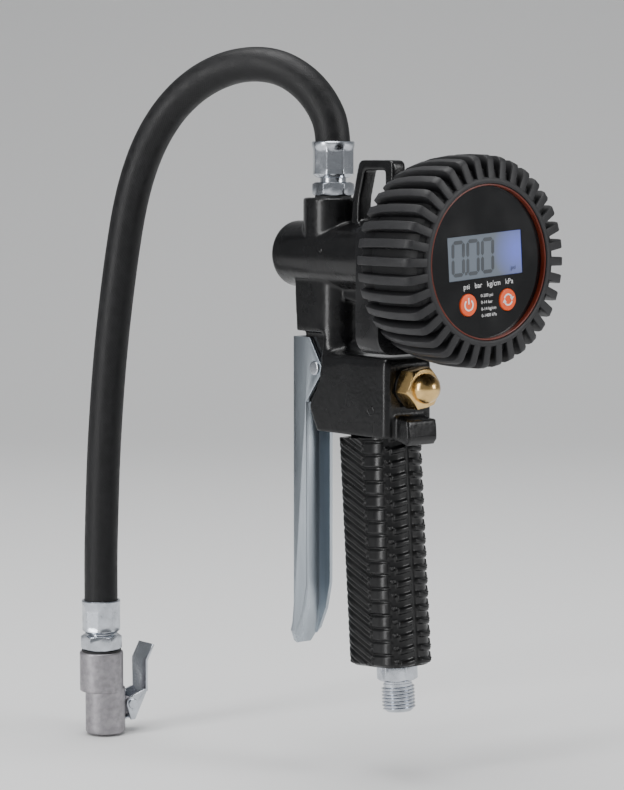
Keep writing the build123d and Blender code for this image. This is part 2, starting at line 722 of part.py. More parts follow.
with BuildPart() as hose:
    with BuildLine() as hose_line:
        FilletPolyline(*route, radius=radii)
    with BuildSketch(Plane(origin=route[0], z_dir=(0, 0, 1))):
        Circle(HOSE_R)
        Circle(HOSE_BORE_R, mode=Mode.SUBTRACT)
    sweep(path=hose_line.wires()[0])
hose.part.label = "hose"
export_step(hose.part, "parts/hose.step")
print("hose length in mm:", round(hose_line.wires()[0].length, 1))

# ================================================================ hose ends
with BuildPart() as hose_fitting_top:
    with BuildSketch(Plane((0, BOSS_Y, 188))):
        Circle(6.47)
    extrude(amount=14.5)
    with BuildSketch(Plane((0, BOSS_Y, BOSS_TOP + 0.7))):
        RegularPolygon(7.25, 6, major_radius=False, rotation=22)
    extrude(amount=5.4)
    with BuildSketch(Plane((0, BOSS_Y, 207))):
        Circle(5.2)
    extrude(amount=1.6)
    with BuildSketch(Plane((0, BOSS_Y, 208))):
        Circle(HOSE_BORE_R - 0.05)
    extrude(amount=14)
    with BuildSketch(Plane((0, BOSS_Y, 180))):
        Circle(2.2)
    extrude(amount=60, mode=Mode.SUBTRACT)
hose_fitting_top.part.label = "hose_fitting_top"
export_step(hose_fitting_top.part, "parts/hose_fitting_top.step")

with BuildPart() as fitting_seal:
    with BuildSketch(Plane((0, BOSS_Y, BOSS_TOP))):
        Circle(7.3)
        Circle(6.52, mode=Mode.SUBTRACT)
    extrude(amount=0.7)
fitting_seal.part.label = "fitting_seal"
export_step(fitting_seal.part, "parts/fitting_seal.step")

with BuildPart() as ferrule_top:
    with BuildSketch(Plane((0, BOSS_Y, 208.7))):
        Circle(FERRULE_TOP_R)
    extrude(amount=14.5)
    chamfer(ferrule_top.edges().group_by(Axis.Z)[0], 1.6)
    with BuildSketch(Plane((0, BOSS_Y, 217))):
        Circle(HOSE_R + 0.03)
    extrude(amount=20, mode=Mode.SUBTRACT)
    with BuildSketch(Plane((0, BOSS_Y, 200))):
        Circle(HOSE_BORE_R)
    extrude(amount=30, mode=Mode.SUBTRACT)
ferrule_top.part.label = "ferrule_top"
export_step(ferrule_top.part, "parts/ferrule_top.step")

with BuildPart() as ferrule_bottom:
    with BuildSketch(Plane((CHUCK_X, CHUCK_Y, 17.4))):
        Circle(FERRULE_R)
    extrude(amount=14.0)
    chamfer(ferrule_bottom.edges().group_by(Axis.Z)[0], 1.2)
    with BuildSketch(Plane((CHUCK_X, CHUCK_Y, 20.5))):
        Circle(HOSE_R + 0.03)
    extrude(amount=20, mode=Mode.SUBTRACT)
    with BuildSketch(Plane((CHUCK_X, CHUCK_Y, 10))):
        Circle(HOSE_BORE_R)
    extrude(amount=30, mode=Mode.SUBTRACT)
ferrule_bottom.part.label = "ferrule_bottom"
export_step(ferrule_bottom.part, "parts/ferrule_bottom.step")

with BuildPart() as hose_fitting_bottom:
    with BuildSketch(Plane((CHUCK_X, CHUCK_Y, 1))):
        Circle(5.97)
    extrude(amount=10)
    with BuildSketch(Plane((CHUCK_X, CHUCK_Y, CHUCK_TOP + 0.7))):
        RegularPolygon(7.5, 6, major_radius=False, rotation=22)
    extrude(amount=6.4)
    with BuildSketch(Plane((CHUCK_X, CHUCK_Y, 16.6))):
        Circle(5.2)
    extrude(amount=0.8)
    with BuildSketch(Plane((CHUCK_X, CHUCK_Y, 17))):
        Circle(HOSE_BORE_R - 0.05)
    extrude(amount=13.5)
    with BuildSketch(Plane((CHUCK_X, CHUCK_Y, 0))):
        Circle(2.2)
    extrude(amount=60, mode=Mode.SUBTRACT)
hose_fitting_bottom.part.label = "hose_fitting_bottom"
export_step(hose_fitting_bottom.part, "parts/hose_fitting_bottom.step")

# ================================================================ clip-on chuck
with BuildPart() as chuck_washer:
    with BuildSketch(Plane((CHUCK_X, CHUCK_Y, CHUCK_TOP))):
        Circle(8.3)
        Circle(6.02, mode=Mode.SUBTRACT)
    extrude(amount=0.7)
chuck_washer.part.label = "chuck_washer"
export_step(chuck_washer.part, "parts/chuck_washer.step")

with BuildPart() as chuck_body:
    with BuildSketch(Plane((CHUCK_X, CHUCK_Y, CHUCK_STEP))):
        Circle(9.15)
    extrude(amount=CHUCK_TOP - CHUCK_STEP)
    fillet(chuck_body.edges().group_by(Axis.Z)[-1], 0.6)
    with BuildSketch(Plane((MOUTH_X, CHUCK_Y, CHUCK_LOW))):
        Circle(8.4)
    extrude(amount=CHUCK_STEP - CHUCK_LOW + 1)
    fillet(chuck_body.edges().group_by(Axis.Z)[0], 1.2)
    # Lug that carries the clip
    with BuildSketch(Plane.XZ.offset(-CHUCK_Y - CLIP_HALF + CLIP_SHEET + 0.25)):
        with BuildLine():
            Polyline(
                (CHUCK_X + 5, -9.6), (CLIP_X, -11.3), (CLIP_X + 2.4, -12.6), (CLIP_X + 2.4, -15.2),
                (CLIP_X - 0.6, -18.2), (CHUCK_X + 5, -18.4), close=True,
            )
        make_face()
    extrude(amount=2 * (CLIP_HALF - CLIP_SHEET - 0.25))
    # Mouth, gasket chamber, air passage, thread for the hose fitting
    with BuildSketch(Plane((MOUTH_X, CHUCK_Y, CHUCK_LOW))):
        Circle(MOUTH_R)
    extrude(amount=MOUTH_DEPTH, mode=Mode.SUBTRACT)
    with BuildSketch(Plane((MOUTH_X, CHUCK_Y, CHUCK_LOW + MOUTH_DEPTH))):
        Circle(5.2)
    extrude(amount=7, mode=Mode.SUBTRACT)
    with BuildSketch(Plane((CHUCK_X, CHUCK_Y, CHUCK_LOW + MOUTH_DEPTH + 5))):
        Circle(2.2)
    extrude(amount=20, mode=Mode.SUBTRACT)
    with BuildSketch(Plane((CHUCK_X, CHUCK_Y, 1))):
        Circle(6.0)
    extrude(amount=20, mode=Mode.SUBTRACT)
    # Slot through which the clip's claw reaches the valve, and the rivet's hole
    with BuildSketch(Plane((MOUTH_X + 8, CHUCK_Y, -24.6))):
        Rectangle(12, 3.4)
    extrude(amount=5.6, mode=Mode.SUBTRACT)
    with BuildSketch(Plane.XZ.offset(-CHUCK_Y - 20)):
        with Locations((CLIP_X, CLIP_Z)):
            Circle(1.3 + FIT)
    extrude(amount=40, mode=Mode.SUBTRACT)
chuck_body.part.label = "chuck_body"
export_step(chuck_body.part, "parts/chuck_body.step")

with BuildPart() as chuck_gasket:
    with BuildSketch(Plane((MOUTH_X, CHUCK_Y, CHUCK_LOW + MOUTH_DEPTH + 0.1))):
        Circle(5.15)
        Circle(2.2, mode=Mode.SUBTRACT)
    extrude(amount=3.4)
chuck_gasket.part.label = "chuck_gasket"
export_step(chuck_gasket.part, "parts/chuck_gasket.step")

with BuildPart() as core_depressor:
    with BuildSketch(Plane((MOUTH_X, CHUCK_Y, CHUCK_LOW + MOUTH_DEPTH + 3.6))):
        Circle(5.15)
        with PolarLocations(3.4, 4, start_angle=45):
            Circle(0.9, mode=Mode.SUBTRACT)
    extrude(amount=1.2)
    with BuildSketch(Plane((MOUTH_X, CHUCK_Y, CHUCK_LOW + MOUTH_DEPTH + 1.0))):
        Circle(0.9)
    extrude(amount=2.8)
core_depressor.part.label = "core_depressor"
export_step(core_depressor.part, "parts/core_depressor.step")

with BuildPart() as clip_lever:
    # Two cheeks and the sheet that joins them behind
    with BuildSketch(Plane.XZ.offset(-CHUCK_Y - CLIP_HALF)):
        with BuildLine():
            Polyline(
                (CLIP_X - 0.9, CLIP_Z + 2.55), (CHUCK_X + 14.4, -9.8), (CHUCK_X + 18.6, -8.6),
                (CHUCK_X + 20.2, -8.6), (CHUCK_X + 13.6, -20.9), (CHUCK_X + 11.6, -20.9),
                (CLIP_X - 2.4, CLIP_Z - 1.2),
            )
            ThreePointArc(
                (CLIP_X - 2.4, CLIP_Z - 1.2), (CLIP_X - 2.4, CLIP_Z + 1.2), (CLIP_X - 0.9, CLIP_Z + 2.55),
            )
        make_face()
    extrude(amount=2 * CLIP_HALF)
    with BuildSketch(Plane.XZ.offset(-CHUCK_Y - CLIP_HALF + CLIP_SHEET)):
        with BuildLine():
            Polyline(
                (CHUCK_X + 5, -5), (CHUCK_X + 19.2, -5), (CHUCK_X + 19.2, -8.6),
                (CHUCK_X + 12.9, -20.3), (CHUCK_X + 12.9, -25), (CHUCK_X + 5, -25), close=True,
            )
        make_face()
    extrude(amount=2 * (CLIP_HALF - CLIP_SHEET), mode=Mode.SUBTRACT)
    # Upright strip and thumb tab
    with BuildSketch(Plane.XZ.offset(-CHUCK_Y - CLIP_HALF)):
        with BuildLine():
            Polyline(
                (CHUCK_X + 19.2, -9.6), (CHUCK_X + 19.2, 3.8), (CHUCK_X + 22.9, 10.4),
                (CHUCK_X + 23.8, 9.9), (CHUCK_X + 20.2, 3.4), (CHUCK_X + 20.2, -9.6), close=True,
            )
        make_face()
    extrude(amount=2 * CLIP_HALF)
    # Claw, which bites on the tyre valve's thread
    with BuildSketch(Plane.XZ.offset(-CHUCK_Y - 1.4)):
        with BuildLine():
            Polyline(
                (CHUCK_X + 13.4, -20.9), (CHUCK_X + 13.4, -19.9), (CHUCK_X + 8, -20.4),
                (MOUTH_X + MOUTH_R + 0.25, -21.6), (MOUTH_X + MOUTH_R + 0.25, -22.4),
                (CHUCK_X + 8, -21.6), close=True,
            )
        make_face()
    extrude(amount=2.8)
    with BuildSketch(Plane.XZ.offset(-CHUCK_Y - 20)):
        with Locations((CLIP_X, CLIP_Z)):
            Circle(1.31)
    extrude(amount=40, mode=Mode.SUBTRACT)
clip_lever.part.label = "clip_lever"
export_step(clip_lever.part, "parts/clip_lever.step")

with BuildPart() as clip_pin:
    with BuildSketch(Plane.XZ.offset(-CHUCK_Y - CLIP_HALF)):
        with Locations((CLIP_X, CLIP_Z)):
            Circle(1.3)
    extrude(amount=2 * CLIP_HALF)
    for y in (-CHUCK_Y - CLIP_HALF - 0.8, -CHUCK_Y + CLIP_HALF):
        with BuildSketch(Plane.XZ.offset(y)):
            with Locations((CLIP_X, CLIP_Z)):
                Circle(2.1)
        extrude(amount=0.8)
clip_pin.part.label = "clip_pin"
export_step(clip_pin.part, "parts/clip_pin.step")
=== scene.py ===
# %% [markdown]
# # A tyre inflator with a gauge
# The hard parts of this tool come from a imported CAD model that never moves. Each step below
# takes one of them, says what the real piece is, and gives it the shape and finish that the
# plain CAD solid lacks. Everything is in metres, and +Z is up.

# %% Load the CAD model
from math import cos, pi, radians, sin, sqrt

import bpy
from mathutils import Matrix, Vector


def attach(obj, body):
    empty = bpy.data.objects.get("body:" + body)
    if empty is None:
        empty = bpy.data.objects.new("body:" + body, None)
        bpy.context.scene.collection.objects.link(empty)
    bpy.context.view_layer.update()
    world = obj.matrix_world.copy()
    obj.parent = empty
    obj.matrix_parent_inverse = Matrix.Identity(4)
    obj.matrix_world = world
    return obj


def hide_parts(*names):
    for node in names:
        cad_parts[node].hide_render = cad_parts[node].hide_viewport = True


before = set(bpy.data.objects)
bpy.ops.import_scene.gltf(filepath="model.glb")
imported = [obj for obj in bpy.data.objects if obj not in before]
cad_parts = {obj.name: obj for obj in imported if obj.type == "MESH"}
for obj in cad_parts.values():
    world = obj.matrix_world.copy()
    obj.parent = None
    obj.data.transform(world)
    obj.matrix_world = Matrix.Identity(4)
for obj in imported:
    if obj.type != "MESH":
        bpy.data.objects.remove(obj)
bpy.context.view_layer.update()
MM = 0.001

# %% [markdown]
# ## Camera
# A long lens from some way off keeps the handle and hose nearly parallel, as in a catalogue
# picture. The camera stands to the left of the dial and a little above the tool, and looks
# slightly down. A sensor of 36 mm lies along the frame's long side.

# %% Camera
bpy.ops.object.camera_add(
    location=(-0.649, -0.747, 0.217), rotation=(radians(84.67), 0, radians(-39))
)
camera = bpy.context.object
camera.data.lens = 116.3
camera.data.sensor_width = 36
bpy.context.scene.camera = camera
print("camera lens", camera.data.lens, "mm")

# %% [markdown]
# ## Where the main parts are
# These sizes repeat those of the CAD source, in millimetres. The handle leans a little, the
# gauge is rolled a little on its thread, and a few small matrices turn a piece that is made
# lying on the ground plane to where it belongs: its own Z then points along the handle, to
# the front, out of the dial, or out of the tool's side.

# %% Shared places
LEAN = radians(4.4)
ROLL = radians(4.0)
GAUGE = Vector((0, 0, 178))
BOSS = Vector((0, 41, 0))
CHUCK = Vector((-49.3, 134.8, 0))
VALVE_Z = 128.3
TOP_FERRULE_RIM = 223.2
HOSE_SPAN = 106  # from the boss to the chuck, level

ALONG_HANDLE = Matrix.Rotation(-LEAN, 4, "X")
FACING_FRONT = Matrix(((1, 0, 0, 0), (0, 0, -1, 0), (0, 1, 0, 0), (0, 0, 0, 1)))
ON_DIAL = Matrix.Rotation(-ROLL, 4, "Y") @ FACING_FRONT
OUT_OF_SIDE = Matrix.Rotation(radians(-90), 4, "Y")


def at(point, turn=Matrix.Identity(4)):
    """The placement of a piece that is turned, then moved to a point in millimetres."""
    return Matrix.Translation(Vector(point) * MM) @ turn


# %% [markdown]
# ## The hose
# The hose is a free length of stiff rubber tube. It leaves the top ferrule straight up, turns
# over in a tight arch, and hangs almost straight down into the chuck's ferrule. A curve with a
# round bevel is the natural way to make it: one smooth NURBS line whose control points are the
# same route that the CAD tube follows, and a radius. Order 3 keeps the line close to its
# points, and the end points are used, so that it starts and stops inside the ferrules.

# %% Hose
HOSE_ROUTE = [
    (0, 217), (0, 228), (4.4, 238), (11.8, 246.5), (22, 252.6), (34, 254.6), (47, 252.8),
    (60, 247), (71.4, 237.6), (80.4, 225.4), (86.8, 211.6), (91.4, 196), (94.9, 177), (98.1, 156),
    (100.8, 134.5), (102.8, 113), (104.3, 92), (105.2, 71), (105.9, 52), (106, 36), (106, 20.5),
]
toward_chuck = (CHUCK - BOSS) / HOSE_SPAN

hose_line = bpy.data.curves.new("hose_line", "CURVE")
hose_line.dimensions = "3D"
spline = hose_line.splines.new("NURBS")
spline.points.add(len(HOSE_ROUTE) - 1)
for point, (out, height) in zip(spline.points, HOSE_ROUTE):
    place = (BOSS + toward_chuck * out + Vector((0, 0, height))) * MM
    point.co = (*place, 1)
spline.order_u = 3
spline.use_endpoint_u = True
spline.resolution_u = 12
hose_line.bevel_depth = 7.0 * MM
hose_line.bevel_resolution = 10
hose_line.use_fill_caps = True
hose = bpy.data.objects.new("rubber_hose", hose_line)
bpy.context.scene.collection.objects.link(hose)
print("hose points:", len(HOSE_ROUTE))

# %% [markdown]
# ## A small language for materials
# A finish is a Principled shader with a few nodes in front of it. Wiring nodes by hand in
# Python is long-winded, so one class wraps a socket and lets numbers on it be added and
# multiplied with ordinary signs, and one method makes any other node.


# %% Shader helpers
class Wave:
    """A number that changes over a surface: it wraps the node socket that gives it."""

    def __init__(self, finish, socket):
        self.finish = finish
        self.socket = socket

    def _math(self, operation, first, second):
        return self.finish.node("ShaderNodeMath", {"operation": operation}, {0: first, 1: second})

    def __add__(self, other):
        return self._math("ADD", self, other)

    __radd__ = __add__

    def __mul__(self, other):
        return self._math("MULTIPLY", self, other)

    __rmul__ = __mul__


class Finish:
    """A material under construction, with its Principled shader ready."""

    def __init__(self, name, colour, roughness, metallic=0.0, **constants):
        self.material = bpy.data.materials.new(name)
        self.material.use_nodes = True
        self.tree = self.material.node_tree
        self.shader = self.tree.nodes["Principled BSDF"]
        self.set("Base Color", (*colour, 1))
        self.set("Roughness", roughness)
        self.set("Metallic", metallic)
        for socket, value in constants.items():
            self.set(socket.replace("_", " "), value)
        self.material.diffuse_color = (*colour, 1)

    def set(self, socket, value):
        """Give one socket of the shader a constant, or a wave."""
        if isinstance(value, Wave):
            self.tree.links.new(value.socket, self.shader.inputs[socket])
        else:
            self.shader.inputs[socket].default_value = value

    def node(self, kind, settings, inputs, output=0):
        """Any node: its settings are set first, then its sockets are given values or links."""
        made = self.tree.nodes.new(kind)
        for name, value in settings.items():
            if name == "stops":
                for stop, (position, colour) in zip(made.color_ramp.elements, value):
                    stop.position = position
                    stop.color = colour
            else:
                setattr(made, name, value)
        for key, value in inputs.items():
            if isinstance(value, Wave):
                self.tree.links.new(value.socket, made.inputs[key])
            else:
                made.inputs[key].default_value = value
        return Wave(self, made.outputs[output])

    def place(self, stretch=(1, 1, 1), source="Object"):
        """Coordinates on the piece, stretched to make streaks."""
        where = self.node("ShaderNodeTexCoord", {}, {}, source)
        return self.node("ShaderNodeMapping", {}, {"Vector": where, "Scale": stretch})

    def noise(self, scale, detail=3.0, stretch=(1, 1, 1), source="Object"):
        """Soft random spots. A scale of 1000 makes spots about a millimetre across."""
        where = self.place(stretch, source)
        return self.node("ShaderNodeTexNoise", {}, {"Vector": where, "Scale": scale, "Detail": detail})

    def ramp(self, wave, low, high):
        """Stretch a wave so that it is 0 at low and 1 at high."""
        return self.node(
            "ShaderNodeMapRange", {"clamp": True}, {"Value": wave, "From Min": low, "From Max": high}
        )

    def blend(self, wave, first, second):
        """A colour that goes from the first to the second as the wave goes from 0 to 1."""
        return self.node(
            "ShaderNodeMix",
            {"data_type": "RGBA"},
            {0: wave, 6: first if isinstance(first, Wave) else (*first, 1), 7: (*second, 1)},
            output=2,
        )

    def bump(self, height, depth):
        """Dents and grains of a given depth in metres."""
        inputs = {"Strength": 1.0, "Distance": depth, "Height": height}
        self.set("Normal", self.node("ShaderNodeBump", {}, inputs))


print("shader helpers ready")

# %% [markdown]
# ## Paint, rubber and plastic
# The body is an aluminium casting under thick black enamel. Enamel is glossy but never quite
# flat: it has a faint orange-peel surface, and its shine varies where it was handled. The
# ribbed grip has the same paint with a finer surface. Roughness from a large, weak noise and a
# bump from a small one give both. The buttons are bright orange, and the ring round the dial
# is the same plastic darkened with painted shade, for the boot's shadow over it.

# %% Paint, rubber and plastic
def enamel(name, colour, shine, peel):
    """Gloss paint, a little worn in spots, with an orange-peel surface of this depth in metres."""
    finish = Finish(
        name, colour, shine, IOR=1.42, Coat_Weight=0.10, Coat_Roughness=0.08, Specular_IOR_Level=0.42
    )
    worn = tuple(1.6 * c for c in colour)
    spots = finish.noise(70, 4)
    finish.set("Roughness", shine + 0.16 * finish.ramp(spots, 0.35, 0.7))
    finish.set("Base Color", finish.blend(finish.ramp(finish.noise(260), 0.4, 0.75), colour, worn))
    finish.bump(finish.noise(520, 2), peel)
    return finish.material


black_paint = enamel("black_paint", (0.0048, 0.0048, 0.0052), 0.19, 0.00008)
black_grip = enamel("black_grip", (0.0040, 0.0040, 0.0043), 0.27, 0.00004)


def moulded(name, colour, roughness, grain=0.00003, scale=1800):
    """Moulded plastic or rubber: a fine even grain, with dust and handling marks."""
    finish = Finish(name, colour, roughness, IOR=1.46, Specular_IOR_Level=0.42)
    dust = finish.ramp(finish.noise(90, 5), 0.42, 0.72)
    finish.set("Base Color", finish.blend(dust, colour, tuple(1.3 * c + 0.003 for c in colour)))
    finish.set("Roughness", roughness - 0.06 + 0.14 * dust)
    finish.bump(finish.noise(scale, 2) + 0.5 * finish.noise(scale / 6, 2), grain)
    return finish.material


def boot_skin():
    """Rubber with painted light on its rib tops and painted shade in the gaps between them."""
    finish = Finish("boot_rubber", (0.026, 0.026, 0.028), 0.56, IOR=1.46, Specular_IOR_Level=0.40)
    from_axis = finish.node(
        "ShaderNodeVectorMath", {"operation": "DISTANCE"},
        {0: finish.place((1, 0, 1)), 1: GAUGE * MM}, "Value",
    )
    forward = finish.node(
        "ShaderNodeVectorMath", {"operation": "DOT_PRODUCT"}, {0: finish.place(), 1: (0, -1, 0)}, "Value"
    )
    # Painted light and shade: the rib tops are made paler and the gaps between the ribs darker
    painted_lit_rib_tops = finish.ramp(finish.ramp(from_axis, 0.0362, 0.0385) + finish.ramp(forward, 0.0491, 0.0501), 0, 1)
    dust = finish.ramp(finish.noise(120, 5), 0.42, 0.72)
    finish.set("Base Color", finish.blend(painted_lit_rib_tops, (0.0040, 0.0040, 0.0050), (0.018, 0.018, 0.0195)))
    finish.set("Roughness", 0.50 + 0.12 * dust)
    finish.bump(finish.noise(1500, 2) + 0.5 * finish.noise(250, 2), 0.00005)
    return finish.material


boot_rubber = boot_skin()
seal_rubber = moulded("seal_rubber", (0.015, 0.015, 0.016), 0.55)
black_plastic = moulded("black_plastic", (0.0050, 0.0050, 0.0056), 0.30, 0.00004, 900)
orange_plastic = moulded("orange_plastic", (0.80, 0.095, 0.020), 0.36)
# The same orange darkened with painted shade, for the ring deep in the boot's shadow
orange_painted_shade = moulded("orange_painted_shade", (0.115, 0.014, 0.004), 0.40)
board_green = moulded("board_green", (0.02, 0.13, 0.05), 0.45)
battery_skin = moulded("battery_skin", (0.30, 0.09, 0.02), 0.35)
print("paint, rubber and plastic made")

# %% [markdown]
# ## Metals
# Three kinds of zinc show here. The fittings are bright and smooth, the lever is pressed
# sheet with a pale blue passivated skin and faint rolling streaks, and the chuck is a die
# casting left as it came from the mould: matt, grainy and a little violet. The cap nut is
# polished brass. All are fully metallic, so their colour is the colour of their reflections.

# %% Metal finishes
def metal(name, colour, roughness, spots=120, stretch=(1, 1, 1), vary=0.12, grain=0.00002, grain_scale=900):
    finish = Finish(name, colour, roughness, metallic=1.0)
    patches = finish.ramp(finish.noise(spots, 5, stretch), 0.35, 0.68)
    finish.set("Roughness", roughness - vary / 2 + vary * patches)
    finish.set("Base Color", finish.blend(patches, colour, tuple(0.78 * c for c in colour)))
    finish.bump(finish.noise(grain_scale, 3, stretch), grain)
    return finish.material


bright_zinc = metal("bright_zinc", (0.60, 0.63, 0.68), 0.22, 260, grain=0.00003)
lever_zinc = metal("lever_zinc", (0.47, 0.52, 0.57), 0.34, 240, (1, 1, 0.08), 0.14, 0.00002, 700)
brass = metal("brass", (0.74, 0.50, 0.21), 0.24, 300, vary=0.10, grain=0.00001)
steel = metal("steel", (0.56, 0.56, 0.57), 0.30)
satin_cast = metal("satin_cast", (0.38, 0.365, 0.385), 0.46, 420, vary=0.14, grain=0.00009, grain_scale=2600)
print("metal finishes made")

# %% [markdown]
# ## Hose skin and dial
# The hose was cured inside a wrapped cloth, which leaves a fine print of threads that cross
# at a slant. The curve has its own UV map, so two waves on it make the print follow the hose
# round its bends. The dial is gloss black under a clear film. The display is grey glass with
# a painted blue glow at its right edge, which fades across it.

# %% Hose and dial finishes
THREADS_ALONG = 250
THREADS_ROUND = 34


def hose_skin():
    finish = Finish("hose_rubber", (0.008, 0.008, 0.009), 0.5, IOR=1.46, Specular_IOR_Level=0.36)
    threads = []
    for around in (THREADS_ROUND, -THREADS_ROUND):
        # The wave node repeats every 0.2 pi, and its count round the hose is whole, so no seam shows
        where = finish.place((0.2 * pi * THREADS_ALONG, 0.2 * pi * around, 0), "UV")
        threads.append(
            finish.node(
                "ShaderNodeTexWave",
                {"wave_type": "BANDS", "bands_direction": "DIAGONAL"},
                {"Vector": where, "Scale": 1.0, "Distortion": 0.0},
                "Fac",
            )
        )
    print_of_cloth = threads[0] + threads[1]
    scuffs = finish.ramp(finish.noise(240, 5), 0.4, 0.7)
    finish.set("Base Color", finish.blend(scuffs, (0.0052, 0.0052, 0.0058), (0.0115, 0.0115, 0.0125)))
    finish.set("Roughness", 0.44 + 0.16 * scuffs)
    finish.bump(0.22 * print_of_cloth + 0.8 * finish.noise(1100, 3), 0.00010)
    return finish.material


hose_rubber = hose_skin()


def dial_face():
    finish = Finish(
        "dial_black", (0.004, 0.004, 0.0045), 0.12, IOR=1.49, Coat_Weight=0.6, Coat_Roughness=0.04
    )
    smears = finish.ramp(finish.noise(60, 4), 0.4, 0.7)
    finish.set("Roughness", 0.09 + 0.10 * smears)
    return finish.material


# Centre of the painted glow on the display
PAINTED_GLOW_PLACE = (0.0165, -0.048, 0.1825)  # behind the display's right edge


def display_glass():
    finish = Finish("lcd_glass", (0.30, 0.35, 0.40), 0.18, IOR=1.5)
    away = finish.node(
        "ShaderNodeVectorMath", {"operation": "DISTANCE"}, {0: finish.place(), 1: PAINTED_GLOW_PLACE}, "Value"
    )
    # Painted glow: near the display's right edge the colour turns bluer and the glass emits blue light,
    # fading across it
    lamp = finish.ramp(away, 0.013, 0.002)
    finish.set("Base Color", finish.blend(lamp, (0.13, 0.150, 0.175), (0.12, 0.15, 0.34)))
    finish.set("Emission Color", finish.blend(lamp, (0.080, 0.098, 0.125), (0.16, 0.20, 0.95)))
    finish.set("Emission Strength", 0.42)
    finish.bump(finish.noise(3000, 2), 0.000004)
    return finish.material


dial_black = dial_face()
lcd_glass = display_glass()
white_print = moulded("white_print", (0.72, 0.72, 0.72), 0.5)
segment_grey = moulded("segment_grey", (0.052, 0.060, 0.070), 0.4)
print("materials:", len(bpy.data.materials))

# %% [markdown]
# ## Modelling helpers
# A lathe, a sheet cutter and a way to take a CAD part as a starting block make most of this
# tool. Each works with Blender's own operators. An operator acts on whatever is selected, so
# every helper first selects its own piece and nothing else.


# %% Modelling helpers
def take(piece):
    """Make a piece the only one selected, and the active one."""
    bpy.ops.object.select_all(action="DESELECT")
    piece.select_set(True)
    bpy.context.view_layer.objects.active = piece


def settle(piece, placement):
    """Put a piece where it belongs, and keep the place in its mesh."""
    piece.matrix_world = placement
    take(piece)
    bpy.ops.object.transform_apply(location=True, rotation=True, scale=True)
    return piece


def soften(piece, width, segments=2, angle=30, shade=35):
    """Round the sharp edges with a Bevel modifier, then shade the rest smooth."""
    take(piece)
    if width:
        bevel = piece.modifiers.new("edges", "BEVEL")
        bevel.width = width * MM
        bevel.segments = segments
        bevel.limit_method = "ANGLE"
        bevel.angle_limit = radians(angle)
        bevel.harden_normals = False
        bpy.ops.object.modifier_apply(modifier=bevel.name)
    bpy.ops.object.shade_smooth_by_angle(angle=radians(shade))
    return piece


def block_from(node, name):
    """A copy of a CAD node's mesh, with its loose triangles merged into one skin."""
    piece = bpy.data.objects.new(name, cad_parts[node].data.copy())
    piece.data.materials.clear()
    bpy.context.scene.collection.objects.link(piece)
    take(piece)
    if piece.data.has_custom_normals:
        bpy.ops.mesh.customdata_custom_splitnormals_clear()
    bpy.ops.object.mode_set(mode="EDIT")
    bpy.ops.mesh.select_all(action="SELECT")
    bpy.ops.mesh.remove_doubles(threshold=0.002 * MM)
    bpy.ops.mesh.dissolve_limited(angle_limit=radians(0.5))
    bpy.ops.object.mode_set(mode="OBJECT")
    return piece


def turned(name, profile, closed_ring=False, corners=72):
    """Turn a profile of (radius, height) in mm: a circle, extruded and scaled ring by ring.

    A solid starts from a filled disc. A ring starts from an open circle and ends where it began.
    """
    radius, height = profile[0]
    bpy.ops.object.select_all(action="DESELECT")
    bpy.ops.mesh.primitive_circle_add(
        vertices=corners, radius=radius * MM, location=(0, 0, 0),
        fill_type="NOTHING" if closed_ring else "NGON",
    )
    piece = bpy.context.object
    piece.name = name
    bpy.ops.object.mode_set(mode="EDIT")
    bpy.ops.mesh.select_all(action="SELECT")
    bpy.ops.transform.translate(value=(0, 0, height * MM))
    steps = profile[1:] + ([profile[0]] if closed_ring else [])
    for next_radius, next_height in steps:
        bpy.ops.mesh.extrude_region_move(
            TRANSFORM_OT_translate={"value": (0, 0, (next_height - height) * MM)}
        )
        grow = next_radius / radius
        bpy.ops.transform.resize(value=(grow, grow, 1), center_override=(0, 0, next_height * MM))
        radius, height = next_radius, next_height
    bpy.ops.mesh.select_all(action="SELECT")
    bpy.ops.mesh.remove_doubles(threshold=0.001 * MM)
    bpy.ops.mesh.normals_make_consistent(inside=False)
    bpy.ops.object.mode_set(mode="OBJECT")
    return piece


def sheet_cut(name, outline, half, edge=0.3, holes=()):
    """Cut a flat shape out of sheet, with rounded edges: a filled curve made into a mesh."""
    line = bpy.data.curves.new(name, "CURVE")
    line.dimensions = "2D"
    line.fill_mode = "BOTH"
    for points in (outline, *holes):
        loop = line.splines.new("POLY")
        loop.points.add(len(points) - 1)
        for point, (x, y) in zip(loop.points, points):
            point.co = (x * MM, y * MM, 0, 1)
        loop.use_cyclic_u = True
    line.extrude = max(half - edge, 0.0001) * MM
    line.bevel_depth = edge * MM
    line.bevel_resolution = 1
    line.offset = -edge * MM
    piece = bpy.data.objects.new(name, line)
    bpy.context.scene.collection.objects.link(piece)
    take(piece)
    bpy.ops.object.convert(target="MESH")
    piece = bpy.context.object
    bpy.ops.object.mode_set(mode="EDIT")
    bpy.ops.mesh.select_all(action="SELECT")
    bpy.ops.mesh.remove_doubles(threshold=0.001 * MM)
    bpy.ops.mesh.normals_make_consistent(inside=False)
    bpy.ops.object.mode_set(mode="OBJECT")
    return piece


def joined(name, pieces):
    """Join several meshes into one piece."""
    take(pieces[0])
    for piece in pieces:
        piece.select_set(True)
    bpy.ops.object.join()
    pieces[0].name = name
    return pieces[0]


def copy_of(piece, placement):
    """A copy with its own mesh, put somewhere else."""
    twin = piece.copy()
    twin.data = piece.data.copy()
    bpy.context.scene.collection.objects.link(twin)
    return settle(twin, placement)


def hand_over(piece, material, body, slot, *nodes):
    """Give a finished piece its material, the body that it rides on, and the nodes it stands for."""
    piece.data.materials.clear()
    piece.data.materials.append(material)
    if piece.type == "MESH":
        piece.data.validate()
    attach(piece, body)
    if nodes:
        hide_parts(*nodes)
    count = len(piece.data.polygons) if piece.type == "MESH" else 0
    print(f"{piece.name}: {count} faces on {body}")
    return piece


print("modelling helpers ready")

